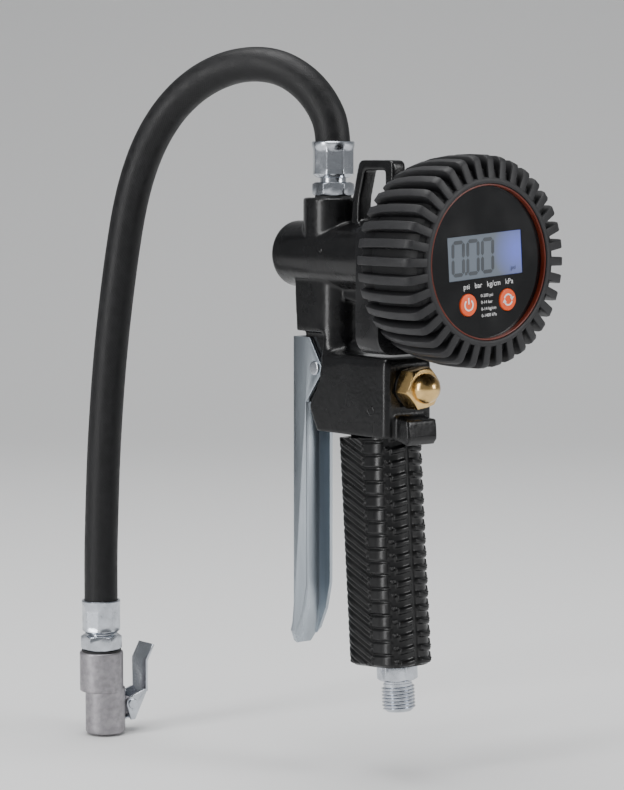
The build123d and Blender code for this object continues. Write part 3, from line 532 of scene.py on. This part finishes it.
# %% [markdown]
# ## Chamfered hexagons
# Every fitting has a hexagon whose corners were turned off at 30 degrees, which leaves the
# curved lines that one sees on a real nut. It is made as it is on the machine: a hexagonal
# bar, cut to what it shares with a turned blank that has chamfered ends.


# %% Hexagon maker
def hexagon(name, across, low, high, turn):
    """A hexagon bar of this size across its flats, with turned ends and one corner at turn degrees."""
    corner = across / sqrt(3)
    bpy.ops.object.select_all(action="DESELECT")
    bpy.ops.mesh.primitive_cylinder_add(
        vertices=6, radius=corner * MM, depth=(high - low) * MM, location=(0, 0, (low + high) / 2 * MM)
    )
    bar = bpy.context.object
    bar.name = name
    bar.rotation_euler = (0, 0, radians(turn - 30))
    settle(bar, bar.matrix_basis.copy())
    face = across / 2 * 0.97
    fall = (corner - face) * 0.577
    rim = corner + 0.02
    blank = turned(
        "blank", [(face, low - 0.01), (rim, low + fall), (rim, high - fall), (face, high + 0.01)],
        corners=96,
    )
    cut = bar.modifiers.new("turned_ends", "BOOLEAN")
    cut.operation = "INTERSECT"
    cut.solver = "EXACT"
    cut.object = blank
    take(bar)
    bpy.ops.object.modifier_apply(modifier=cut.name)
    bpy.data.objects.remove(blank)
    return soften(bar, 0.18, 2, 25, 30)


print("hexagon maker ready")

# %% [markdown]
# ## The casting
# The body is one die casting: handle core, valve block, column, manifold, boss and hook. Its
# CAD shape is right but razor-sharp, and no casting is: metal can't fill a sharp inside
# corner, and paint rounds every outside one. Bevelling edge by edge is fragile on such a
# shape. A voxel remesh gives one even skin instead, and smoothing that skin rounds inside
# and outside corners at once. Extra smoothing where the column meets the block makes the
# larger fillet there, and a decimate keeps the mesh light on its flat faces.


# %% Casting
def cast_skin(piece, voxel, rounds, keep):
    """Rebuild a sharp block as one even skin, smooth it, and thin it."""
    take(piece)
    skin = piece.modifiers.new("skin", "REMESH")
    skin.mode = "VOXEL"
    skin.voxel_size = voxel * MM
    skin.use_smooth_shade = True
    bpy.ops.object.modifier_apply(modifier=skin.name)
    smooth = piece.modifiers.new("paint", "SMOOTH")
    smooth.factor = 0.5
    smooth.iterations = rounds
    bpy.ops.object.modifier_apply(modifier=smooth.name)
    if keep < 1:
        thin = piece.modifiers.new("thin", "DECIMATE")
        thin.ratio = keep
        bpy.ops.object.modifier_apply(modifier=thin.name)
    bpy.ops.object.shade_smooth()
    return piece


def fill_corner(piece, centre, reach, rounds):
    """Smooth the skin more near one place, which makes a larger fillet there."""
    group = piece.vertex_groups.new(name="corner")
    for vertex in piece.data.vertices:
        away = (vertex.co / MM - Vector(centre)).length / reach
        if away < 1:
            group.add([vertex.index], min(1.0, 2 * (1 - away)), "REPLACE")
    take(piece)
    smooth = piece.modifiers.new("fillet", "SMOOTH")
    smooth.factor = 0.5
    smooth.iterations = rounds
    smooth.vertex_group = group.name
    bpy.ops.object.modifier_apply(modifier=smooth.name)
    piece.vertex_groups.clear()


CASTING_FACES = 85000
COLUMN_SIDE = 9.5
COLUMN_FRONT = (0, 25, 141)
DOT_AT = (-13.1, 33, 180.3)
PIN_RING_AT = (-11.98, 3.5, 119)

casting = block_from("body_casting", "casting")
cast_skin(casting, 0.6, 7, 1)
for side in (-COLUMN_SIDE, COLUMN_SIDE):
    fill_corner(casting, (side, 31, 139.5), 9, 90)
fill_corner(casting, COLUMN_FRONT, 11, 80)
print("casting skin:", len(casting.data.polygons))
take(casting)
thinned = casting.modifiers.new("thin", "DECIMATE")
thinned.ratio = min(1.0, CASTING_FACES / len(casting.data.polygons))
bpy.ops.object.modifier_apply(modifier=thinned.name)
bpy.ops.object.shade_smooth()
hand_over(casting, black_paint, "inflator", "black_paint", "body_casting")

# Marks that the mould's pins left on the side: a dot on the manifold and a ring on the block
dot = turned("dot", [(0.9, -0.3), (0.85, 0.15), (0.5, 0.32), (0.1, 0.36)], corners=32)
settle(dot, at(DOT_AT, OUT_OF_SIDE))
pin_ring = turned("pin_ring", [
    (1.45, -0.3), (1.45, 0.1), (1.6, 0.22), (1.8, 0.22), (1.95, 0.1), (1.95, -0.3),
], closed_ring=True, corners=40)
settle(pin_ring, at(PIN_RING_AT, OUT_OF_SIDE))
marks_of_pins = soften(joined("casting_marks", [dot, pin_ring]), 0, shade=50)
hand_over(marks_of_pins, black_paint, "inflator", "black_paint")

# %% [markdown]
# ## The ribbed grip
# The grip's side has slanted ribs that fall towards the front, then level louvres, then a row
# of small chevrons at the corner and short bars beside a plain groove down the front. That is
# a relief on a rounded bar, so it is easiest to make flat: a fine grid as wide as the grip's
# girth and as long as the grip, whose points are lifted by the relief's height and then
# wrapped round the bar's outline. No operator wraps a sheet like that, so the points are
# moved in code.

# %% Grip
GRIP_FOOT = 18.4
GRIP_TOP = 108.3
GRIP_BACK = 3.3
GRIP_HALF_WIDTH = 11.0
GRIP_HALF_DEPTH = 15.0
GRIP_CORNER = 8.0
RIB_PITCH = 5.2
RIB_LIFT = 1.25

STRAIGHT_FRONT = GRIP_HALF_WIDTH - GRIP_CORNER
ARC = GRIP_CORNER * pi / 2
ARC_CENTRE = GRIP_HALF_DEPTH - GRIP_CORNER
STRAIGHT_SIDE = 2 * ARC_CENTRE
HALF_GIRTH = 2 * STRAIGHT_FRONT + 2 * ARC + STRAIGHT_SIDE


def ease(x, low, high):
    """0 below low, 1 above high, and a smooth rise between."""
    t = min(1.0, max(0.0, (x - low) / (high - low)))
    return t * t * (3 - 2 * t)


def band(x, low, high, edge):
    """1 between low and high, with soft edges."""
    return ease(x, low - edge / 2, low + edge / 2) * (1 - ease(x, high - edge / 2, high + edge / 2))


def outline(s):
    """Point and outward direction on half of the grip's outline, s mm from the middle of its front."""
    if s < STRAIGHT_FRONT:
        return (s, -GRIP_HALF_DEPTH), (0, -1)
    s -= STRAIGHT_FRONT
    if s < ARC:
        a = s / GRIP_CORNER
        out = (sin(a), -cos(a))
        return (STRAIGHT_FRONT + GRIP_CORNER * out[0], -ARC_CENTRE + GRIP_CORNER * out[1]), out
    s -= ARC
    if s < STRAIGHT_SIDE:
        return (GRIP_HALF_WIDTH, s - ARC_CENTRE), (1, 0)
    s -= STRAIGHT_SIDE
    if s < ARC:
        a = s / GRIP_CORNER
        out = (cos(a), sin(a))
        return (STRAIGHT_FRONT + GRIP_CORNER * out[0], ARC_CENTRE + GRIP_CORNER * out[1]), out
    s -= ARC
    return (STRAIGHT_FRONT - s, GRIP_HALF_DEPTH), (0, 1)


# Where each band of the relief starts and ends, in mm round from the middle of the front
BARS = (1.3, 7.5)
CHEVRONS = (8.1, 9.5)
LOUVRES = (10.1, 19.3)
SLANT = 0.50


def relief(s, z):
    """Height of the grip's relief, s mm round from the front and z mm up."""
    level = z / RIB_PITCH
    bar = band((level + 0.03 * s) % 1, 0.26, 0.66, 0.16) * band(s, *BARS, 0.9)
    tilt = abs(s - sum(CHEVRONS) / 2) * 0.10
    chevron = band((level - tilt) % 1, 0.30, 0.52, 0.2) * band(s, *CHEVRONS, 0.8)
    louvre = (1 - 0.45 * (level % 1)) * band(level % 1, 0.10, 0.90, 0.10) * band(s, *LOUVRES, 0.8)
    slope = (z - SLANT * max(0.0, s - LOUVRES[1])) / RIB_PITCH
    slant = band(slope % 1, 0.08, 0.78, 0.14) - 0.45 * band(slope % 1, 0.34, 0.48, 0.12)
    slant *= ease(s, LOUVRES[1] - 0.3, LOUVRES[1] + 0.7)
    groove = -0.35 * (1 - ease(s, 0.5, 1.1))
    return 0.15 + groove + RIB_LIFT * max(bar, 0.85 * chevron, 0.8 * louvre, slant)


GRID_ROUND = 300
GRID_UP = 270
bpy.ops.object.select_all(action="DESELECT")
bpy.ops.mesh.primitive_grid_add(
    x_subdivisions=GRID_ROUND, y_subdivisions=GRID_UP, size=1, location=(0, 0, 0)
)
grip = bpy.context.object
grip.name = "grip"
for vertex in grip.data.vertices:
    s = (vertex.co.x * 2) * HALF_GIRTH
    z = (vertex.co.y + 0.5) * (GRIP_TOP - GRIP_FOOT)
    (x, y), (out_x, out_y) = outline(min(abs(s), HALF_GIRTH))
    side = 1 if s >= 0 else -1
    fade = ease(z, -0.1, 1.2)
    lift = relief(abs(s), z) * fade - 0.5 * (1 - fade)
    vertex.co = Vector((side * (x + out_x * lift), y + out_y * lift, z)) * MM
bpy.ops.object.mode_set(mode="EDIT")
bpy.ops.mesh.select_all(action="SELECT")
bpy.ops.mesh.remove_doubles(threshold=0.01 * MM)
bpy.ops.mesh.select_all(action="DESELECT")
bpy.ops.mesh.select_mode(type="EDGE")
bpy.ops.mesh.select_non_manifold()
bpy.ops.mesh.extrude_region_move(TRANSFORM_OT_translate={"value": (0, 0, 0)})
bpy.ops.transform.resize(value=(0.84, 0.9, 1), center_override=(0, 0, 0))
bpy.ops.mesh.select_all(action="SELECT")
bpy.ops.mesh.normals_make_consistent(inside=False)
bpy.ops.object.mode_set(mode="OBJECT")
settle(grip, ALONG_HANDLE @ Matrix.Translation(Vector((0, GRIP_BACK, GRIP_FOOT)) * MM))
bpy.ops.object.shade_smooth_by_angle(angle=radians(60))
hand_over(grip, black_grip, "inflator", "black_grip", "grip_sleeve")

# %% [markdown]
# ## The inlet
# The air line screws on below the grip. The nipple has a hexagon and a quarter-inch parallel
# thread of 19 turns to the inch. A real thread is a ridge that climbs in a helix, so a
# triangular profile is carried along a helix round a plain core, as a thread-cutting tool
# would leave it, and both fade out at the chamfered end.

# %% Inlet
THREAD_PITCH = 1.337
THREAD_ROOT = 5.72
THREAD_TURNS = 7.4
POINTS_PER_TURN = 40

tooth_line = bpy.data.curves.new("tooth_line", "CURVE")
tooth_line.dimensions = "2D"
tooth_loop = tooth_line.splines.new("POLY")
tooth_loop.points.add(3)
TOOTH = [(-0.15, -0.56), (-0.15, 0.56), (0.86, 0.10), (0.86, -0.10)]
for point, (out, up) in zip(tooth_loop.points, TOOTH):
    point.co = (out * MM, up * MM, 0, 1)
tooth_loop.use_cyclic_u = True
tooth_shape = bpy.data.objects.new("tooth_shape", tooth_line)
bpy.context.scene.collection.objects.link(tooth_shape)

helix = bpy.data.curves.new("helix", "CURVE")
helix.dimensions = "3D"
helix.twist_mode = "Z_UP"
turns = helix.splines.new("POLY")
steps = int(THREAD_TURNS * POINTS_PER_TURN)
turns.points.add(steps)
for step, point in enumerate(turns.points):
    angle = 2 * pi * step / POINTS_PER_TURN
    height = 0.55 + THREAD_PITCH * step / POINTS_PER_TURN
    fade = ease(step, 0, POINTS_PER_TURN * 0.7)
    fade *= 1 - ease(step, steps - POINTS_PER_TURN * 0.6, steps)
    point.co = (THREAD_ROOT * cos(angle) * MM, THREAD_ROOT * sin(angle) * MM, height * MM, 1)
    point.radius = 0.25 + 0.75 * fade
helix.bevel_mode = "OBJECT"
helix.bevel_object = tooth_shape
helix.use_fill_caps = True
thread = bpy.data.objects.new("thread", helix)
bpy.context.scene.collection.objects.link(thread)
take(thread)
bpy.ops.object.convert(target="MESH")
thread = bpy.context.object
bpy.data.objects.remove(tooth_shape)
print("thread reaches", round(max(v.co.xy.length for v in thread.data.vertices) / MM, 2), "mm from its axis")

core = turned("core", [
    (5.1, 8.0), (3.6, 8.0), (3.6, 0.0), (4.9, 0.0), (THREAD_ROOT, 0.8), (THREAD_ROOT, 11.0), (5.5, 11.2),
    (5.5, 11.8), (6.9, 12.4), (6.9, 19.9), (5.1, 19.9),
], closed_ring=True)
soften(core, 0)
inlet_hex = hexagon("inlet_hex", 14.0, 12.2, 20.0, 15)
inlet = joined("inlet", [core, thread, inlet_hex])
settle(inlet, ALONG_HANDLE)
bpy.ops.object.shade_smooth_by_angle(angle=radians(28))
hand_over(inlet, bright_zinc, "inflator", "bright_zinc", "inlet_nipple")

# %% [markdown]
# ## The cap nut
# A domed brass nut closes the valve chamber under the gauge. It is a hexagon with a turned
# dome in front, and the dome's foot leaves a thin shadow line on the hexagon's face.

# %% Cap nut
nut_hex = hexagon("nut_hex", 15.0, 0.8, 9.0, 10)
DOME_R = 5.9
DOME_RISE = 5.6
DOME_START = 9.4
DOME_TIP_R = 0.25
dome_profile = [(DOME_R, 8.0), (DOME_R, 9.2)]
for step in range(8):
    up = radians(12.7 * step)
    dome_profile.append((max(DOME_TIP_R, DOME_R * cos(up)), DOME_START + DOME_RISE * sin(up)))
dome = turned("dome", dome_profile)
soften(dome, 0)
cap_nut = joined("cap_nut", [nut_hex, dome])
settle(cap_nut, at((0, -5.6, VALVE_Z), FACING_FRONT))
bpy.ops.object.shade_smooth_by_angle(angle=radians(30))
hand_over(cap_nut, brass, "inflator", "brass", "valve_cap_nut")

# %% [markdown]
# ## The lever
# The lever is a channel folded from sheet, with two ears at its pivot and a flared foot. Its
# CAD shape is exact, and only its edges are too sharp, so a small bevel on a merged copy is
# all that it needs. The rivet through the ears gets the same.

# %% Lever
channel = block_from("lever", "channel")
soften(channel, 0.3, 3, 30, 30)
hand_over(channel, lever_zinc, "lever", "lever_zinc", "lever")
rivet = block_from("lever_pin", "rivet")
soften(rivet, 0.12, 2, 30, 40)
hand_over(rivet, bright_zinc, "lever", "bright_zinc", "lever_pin")

# %% [markdown]
# ## The rubber boot
# The boot is a moulded ring with 36 ribs. Each rib lies along the barrel, bends over the front
# corner, and runs in towards the glass. Behind, the ribs stick out past the ring like fingers.
# The ring is turned from a profile. One rib is cut from thick sheet in the shape of its side
# view, and 36 copies are set round the ring.

# %% Boot
RIB_COUNT = 36
boot_ring = turned("boot_ring", [
    (33.45, 17.7), (34.2, 17.4), (34.5, 17.8), (34.6, 23.6), (35.1, 24.2), (35.6, 25.6), (35.8, 31.0),
    (35.8, 42.0), (35.3, 46.4), (34.2, 48.4), (31.6, 49.4), (31.5, 50.5), (31.0, 50.95), (29.8, 51.0),
    (29.4, 50.8), (29.2, 50.3), (29.2, 47.4), (33.45, 47.3),
], closed_ring=True, corners=144)
soften(boot_ring, 0, shade=40)

rib_side = [
    (34.2, 17.4), (36.4, 17.4), (37.2, 18.6), (38.9, 25.0), (39.9, 33.0), (40.1, 40.0), (39.9, 47.0),
    (39.2, 49.0), (37.9, 49.9), (31.2, 50.8), (31.2, 48.6), (33.8, 46.0), (34.8, 42.0), (34.8, 27.0),
    (34.3, 24.0),
]
rib = sheet_cut("rib", rib_side, 1.65, 0.32)
# The sheet's X is the radius and its Y the depth from the back, so it is stood up on edge
UPRIGHT = Matrix(((1, 0, 0, 0), (0, 0, 1, 0), (0, 1, 0, 0), (0, 0, 0, 1)))
ribs = []
for number in range(RIB_COUNT):
    turn = Matrix.Rotation(2 * pi * (number + 0.5) / RIB_COUNT, 4, "Z")
    ribs.append(copy_of(rib, turn @ UPRIGHT))
bpy.data.objects.remove(rib)
all_ribs = joined("all_ribs", ribs)
bpy.ops.object.mode_set(mode="EDIT")
bpy.ops.mesh.select_all(action="SELECT")
bpy.ops.mesh.normals_make_consistent(inside=False)
bpy.ops.object.mode_set(mode="OBJECT")
soften(all_ribs, 0, shade=50)
boot = joined("boot", [boot_ring, all_ribs])
settle(boot, at(GAUGE, ON_DIAL))
hand_over(boot, boot_rubber, "inflator", "boot_rubber", "gauge_boot")

# %% [markdown]
# ## The gauge's back and front
# The housing behind the boot, its door, the ring round the dial and the two buttons are plain
# mouldings, and bevelled copies of the CAD parts give them the rounded edges that a mould
# leaves. The dial and its window keep their CAD shapes, and their finish does the rest.

# %% Gauge shells
housing = block_from("battery_housing", "housing")
soften(housing, 0.7, 3, 40, 35)
hand_over(housing, black_plastic, "inflator", "black_plastic", "battery_housing")
door = block_from("battery_door", "door")
soften(door, 0.25, 2, 40, 35)
hand_over(door, black_plastic, "inflator", "black_plastic", "battery_door")
ring = block_from("bezel_ring", "ring")
soften(ring, 0.25, 2, 40, 40)
# The ring's orange is darkened with painted shade
hand_over(ring, orange_painted_shade, "inflator", "orange_plastic", "bezel_ring")
for key, node in (("power", "button_power"), ("units", "button_units")):
    cap = block_from(node, f"{key}_button")
    soften(cap, 0.15, 2, 40, 40)
    hand_over(cap, orange_plastic, f"{key}_key", "orange_plastic", node)

# %% [markdown]
# ## What the dial shows
# The display shows three seven-segment digits. A segment is a small slanted bar, cut once for
# each direction and copied. The print on the dial is only units and figures: it is made as
# text, turned into a mesh, and laid a hair in front of the dial. The two buttons carry an
# on mark and a change-over arrow.

# %% Digits and print
DIAL_FACE = 48.5
SCREEN_FACE = DIAL_FACE - 0.3
SCREEN_UP = 2.4
PRINT = 0.03


def on_face(depth, x=0.0, up=0.0):
    """Placement of something flat, this far forward of the manifold's middle, on the rolled dial."""
    return at(GAUGE, ON_DIAL) @ Matrix.Translation(Vector((x, up, depth)) * MM)


DIGIT_HALF = 2.6
DIGIT_TALL = 12.0
STROKE = 1.45
SLOPE = 0.05


def leaning(points):
    return [(x + SLOPE * y, y) for x, y in points]


def bar_points(x, y, length, upright):
    """A segment with pointed ends."""
    h, l = STROKE / 2, length / 2
    flat = [(-l, 0), (-l + h, h), (l - h, h), (l, 0), (l - h, -h), (-l + h, -h)]
    if upright:
        flat = [(b, a) for a, b in flat]
    return leaning([(x + a, y + b) for a, b in flat])


digits = []
for middle in (-13.5, -6.1, 1.3):
    for upright, x, y in (
        (False, 0, DIGIT_TALL / 2), (False, 0, -DIGIT_TALL / 2),
        (True, -DIGIT_HALF, DIGIT_TALL / 4), (True, DIGIT_HALF, DIGIT_TALL / 4),
        (True, -DIGIT_HALF, -DIGIT_TALL / 4), (True, DIGIT_HALF, -DIGIT_TALL / 4),
    ):
        length = DIGIT_TALL / 2 - 0.3 if upright else 2 * DIGIT_HALF - 0.3
        digits.append(sheet_cut("segment", bar_points(middle + x, y, length, upright), PRINT, 0.01))
POINT = [(-10.2, -6.4), (-9.0, -6.4), (-9.0, -5.2), (-10.2, -5.2)]
digits.append(sheet_cut("point", leaning(POINT), PRINT, 0.01))
readout = joined("readout", digits)
settle(readout, on_face(SCREEN_FACE + 0.02, 0, SCREEN_UP))
hand_over(readout, segment_grey, "inflator", "dial_black")


def lettering(words, size, x, up, align="CENTER"):
    """Generic units or figures as a flat mesh on the dial."""
    bpy.ops.object.select_all(action="DESELECT")
    bpy.ops.object.text_add()
    text = bpy.context.object
    text.data.body = words
    text.data.size = size * MM
    text.data.align_x = align
    text.data.extrude = PRINT / 2 * MM
    text.data.resolution_u = 3
    bpy.ops.object.convert(target="MESH")
    return settle(bpy.context.object, on_face(DIAL_FACE + 0.02, x, up))


marks = [lettering("psi   bar   kg/cm   kPa", 2.9, 0.8, -9.2)]
for row, words in enumerate(("0-200 psi", "0-14 bar", "0-14 kg/cm", "0-1400 kPa")):
    marks.append(lettering(words, 1.7, -3.4, -12.9 - 2.5 * row, "LEFT"))
dial_print = joined("dial_print", marks)
hand_over(dial_print, white_print, "inflator", "dial_black")
unit_mark = lettering("psi", 2.3, 13.9, -4.0)
unit_mark.name = "unit_mark"
hand_over(unit_mark, segment_grey, "inflator", "dial_black")


def arc_strip(radius, width, start, stop, steps=20):
    """Outline of part of a flat ring."""
    angles = [radians(start + (stop - start) * k / steps) for k in range(steps + 1)]
    outer = [((radius + width / 2) * cos(a), (radius + width / 2) * sin(a)) for a in angles]
    inner = [((radius - width / 2) * cos(a), (radius - width / 2) * sin(a)) for a in reversed(angles)]
    return outer + inner


BUTTON_FACE = DIAL_FACE + 0.55
BUTTON_AT = (10.0, -15.1)
on_mark = joined("on_mark", [
    sheet_cut("arc", arc_strip(2.0, 0.6, 130, 410), PRINT, 0.01),
    sheet_cut("stroke", [(-0.3, 0.3), (0.3, 0.3), (0.3, 2.7), (-0.3, 2.7)], PRINT, 0.01),
])
settle(on_mark, on_face(BUTTON_FACE + 0.02, -BUTTON_AT[0], BUTTON_AT[1]))
hand_over(on_mark, white_print, "power_key", "orange_plastic")
change_mark = joined("change_mark", [
    sheet_cut("arc", arc_strip(2.0, 0.6, 20, 160), PRINT, 0.01),
    sheet_cut("arc", arc_strip(2.0, 0.6, 200, 340), PRINT, 0.01),
    sheet_cut("head", [(2.9, 0.9), (0.9, 0.9), (1.9, -0.5)], PRINT, 0.01),
    sheet_cut("head", [(-2.9, -0.9), (-0.9, -0.9), (-1.9, 0.5)], PRINT, 0.01),
])
settle(change_mark, on_face(BUTTON_FACE + 0.02, *BUTTON_AT))
hand_over(change_mark, white_print, "units_key", "orange_plastic")

# %% [markdown]
# ## Hose ends
# Each end of the hose has a barbed fitting with a hexagon, and a ferrule crimped over the
# rubber. The crimping jaws press eight flats into the tube and leave its rim round. So the
# ferrule is turned first, with rings close together, and then the rings between the rim and
# the foot are pushed in to an eight-sided section.


# %% Ferrules and hose fittings
def ferrule(name, foot, rim, radius, bore, bevel, press, turn):
    """A crimped ferrule from foot to rim, standing on the ground plane."""
    tall = rim - foot
    rings = [(radius, foot + bevel + (tall - bevel - 2.2) * k / 10) for k in range(11)]
    lower_end = [
        (radius - bevel - 0.9, foot), (radius - bevel, foot + 0.05), (radius - 0.25, foot + bevel - 0.2),
    ]
    upper_end = [
        (radius + 0.12, rim - 1.7), (radius + 0.15, rim - 0.5), (radius - 0.15, rim - 0.05),
        (bore + 0.2, rim), (bore, rim - 0.4), (bore, rim - 3),
    ]
    piece = turned(name, lower_end + rings + upper_end, corners=128)
    low, high = foot + bevel * 0.9, rim - 1.9
    for vertex in piece.data.vertices:
        here = vertex.co / MM
        away = here.xy.length
        if away < radius - 1.2:
            continue
        from_flat = (here.xy.angle(Vector((cos(turn), sin(turn))), 0) + pi / 8) % (pi / 4) - pi / 8
        flat = (radius - press) / cos(from_flat)
        strength = ease(here.z, low - 0.4, low + 0.8) * (1 - ease(here.z, high - 1.4, high))
        target = away + (min(away, flat) - away) * strength
        vertex.co.x *= target / away
        vertex.co.y *= target / away
    return soften(piece, 0, shade=32)


top_ferrule = ferrule(
    "top_ferrule", foot=208.7, rim=TOP_FERRULE_RIM, radius=8.4, bore=7.05, bevel=1.6, press=0.6, turn=0.2
)
settle(top_ferrule, at(BOSS))
hand_over(top_ferrule, bright_zinc, "inflator", "bright_zinc", "ferrule_top")
bottom_ferrule = ferrule(
    "bottom_ferrule", foot=17.4, rim=31.4, radius=8.0, bore=7.05, bevel=1.2, press=0.55, turn=0.45
)
settle(bottom_ferrule, at(CHUCK))
hand_over(bottom_ferrule, bright_zinc, "inflator", "bright_zinc", "ferrule_bottom")

top_waist = turned("top_waist", [(6.4, 200.5), (6.4, 201.7), (5.2, 206.8), (5.2, 208.9)])
soften(top_waist, 0)
top_hex = hexagon("top_hex", 14.5, 201.6, 207.0, 22)
top_fitting = joined("top_fitting", [top_hex, top_waist])
settle(top_fitting, at(BOSS))
hand_over(top_fitting, bright_zinc, "inflator", "bright_zinc", "hose_fitting_top")
bottom_waist = turned("bottom_waist", [(5.9, 9.3), (5.9, 10.3), (5.2, 16.4), (5.2, 17.6)])
soften(bottom_waist, 0)
bottom_hex = hexagon("bottom_hex", 15.0, 10.2, 16.6, 22)
bottom_fitting = joined("bottom_fitting", [bottom_hex, bottom_waist])
settle(bottom_fitting, at(CHUCK))
hand_over(bottom_fitting, bright_zinc, "inflator", "bright_zinc", "hose_fitting_bottom")

# %% [markdown]
# ## The chuck and its clip
# The chuck is a small unpainted die casting, so it gets the same cast skin as the body, on a
# finer scale. The clip is pressed sheet that keeps crisp edges, so it gets a bevel.

# %% Chuck and clip
chuck = block_from("chuck_body", "chuck")
cast_skin(chuck, 0.28, 4, 0.7)
hand_over(chuck, satin_cast, "inflator", "satin_cast", "chuck_body")
clip = block_from("clip_lever", "clip_sheet")
soften(clip, 0.16, 2, 30, 35)
hand_over(clip, bright_zinc, "clip", "bright_zinc", "clip_lever")
clip_rivet = block_from("clip_pin", "clip_rivet")
soften(clip_rivet, 0.3, 3, 40, 40)
hand_over(clip_rivet, bright_zinc, "clip", "bright_zinc", "clip_pin")

# %% [markdown]
# ## Finishing the hose
# The hose gets its skin and rides on the body, in place of the CAD hose.

# %% Hose on the body
hand_over(hose, hose_rubber, "inflator", "hose_rubber", "hose")

# %% [markdown]
# ## Parts that keep their CAD shape
# Washers, springs, screws and the parts inside are simple turned or flat things. They keep
# their CAD meshes and only get a finish.

# %% Finishes for the CAD parts
FINISH_OF = {
    seal_rubber: [
        "inlet_seal", "cap_nut_seal", "poppet_seal", "stem_seal", "stem_washer", "fitting_seal",
        "chuck_washer", "chuck_gasket",
    ],
    steel: [
        "inlet_filter", "valve_spring", "case_screws", "door_screw", "battery_contacts",
        "pressure_sensor", "core_depressor",
    ],
    brass: ["valve_seat", "valve_stem", "gauge_stem"],
    black_plastic: ["gauge_case", "button_switches"],
    dial_black: ["dial_plate"],
    lcd_glass: ["lcd_window", "lcd_module"],
    board_green: ["circuit_board"],
    battery_skin: ["batteries"],
}
for material, names in FINISH_OF.items():
    for name in names:
        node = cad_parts[name]
        node.data.materials.clear()
        node.data.materials.append(material)
print("CAD parts finished:", sum(len(names) for names in FINISH_OF.values()))

# %% [markdown]
# ## Floor and light
# A pale sweep of paper, flat in front and curved up behind, gives a plain ground with no
# horizon line. Large soft lamps on both sides draw long highlights on black paint and zinc,
# and one from above lights the floor.

# %% Floor and lights
FLOOR = -0.0262  # just under the chuck, the tool's lowest part
PAPER_TURN = radians(-41)
PAPER_FLAT = 1.2  # metres of level paper behind the tool
PAPER_RISE = 0.55
bpy.ops.object.select_all(action="DESELECT")
bpy.ops.mesh.primitive_grid_add(x_subdivisions=60, y_subdivisions=60, size=8, location=(0, 0, 0))
floor = bpy.context.object
floor.name = "paper_sweep"
for vertex in floor.data.vertices:
    back = max(0.0, vertex.co.y - PAPER_FLAT)
    vertex.co.z = PAPER_RISE * back * back
settle(floor, Matrix.Translation((0, 0, FLOOR)) @ Matrix.Rotation(PAPER_TURN, 4, "Z"))
bpy.ops.object.shade_smooth()
paper = Finish("paper", (0.80, 0.80, 0.80), 0.9)
floor.data.materials.append(paper.material)

world = bpy.data.worlds.new("studio") if not bpy.context.scene.world else bpy.context.scene.world
bpy.context.scene.world = world
world.use_nodes = True
world.node_tree.nodes["Background"].inputs["Color"].default_value = (0.86, 0.88, 0.90, 1)
world.node_tree.nodes["Background"].inputs["Strength"].default_value = 0.30


def soft_lamp(name, place, size, power, aim=(0.0, 0.03, 0.12)):
    """A rectangular lamp that faces the tool."""
    bpy.ops.object.light_add(type="AREA", location=place)
    lamp = bpy.context.object
    lamp.name = name
    lamp.data.shape = "RECTANGLE"
    lamp.data.size, lamp.data.size_y = size
    lamp.data.energy = power
    lamp.rotation_euler = (Vector(aim) - Vector(place)).to_track_quat("-Z", "Y").to_euler()
    return lamp


soft_lamp("left_box", (-1.35, 0.15, 0.55), (0.35, 1.3), 15)
soft_lamp("front_box", (0.75, -1.25, 0.75), (0.5, 1.0), 15)
soft_lamp("top_box", (-0.1, 0.1, 1.5), (1.2, 1.0), 22)
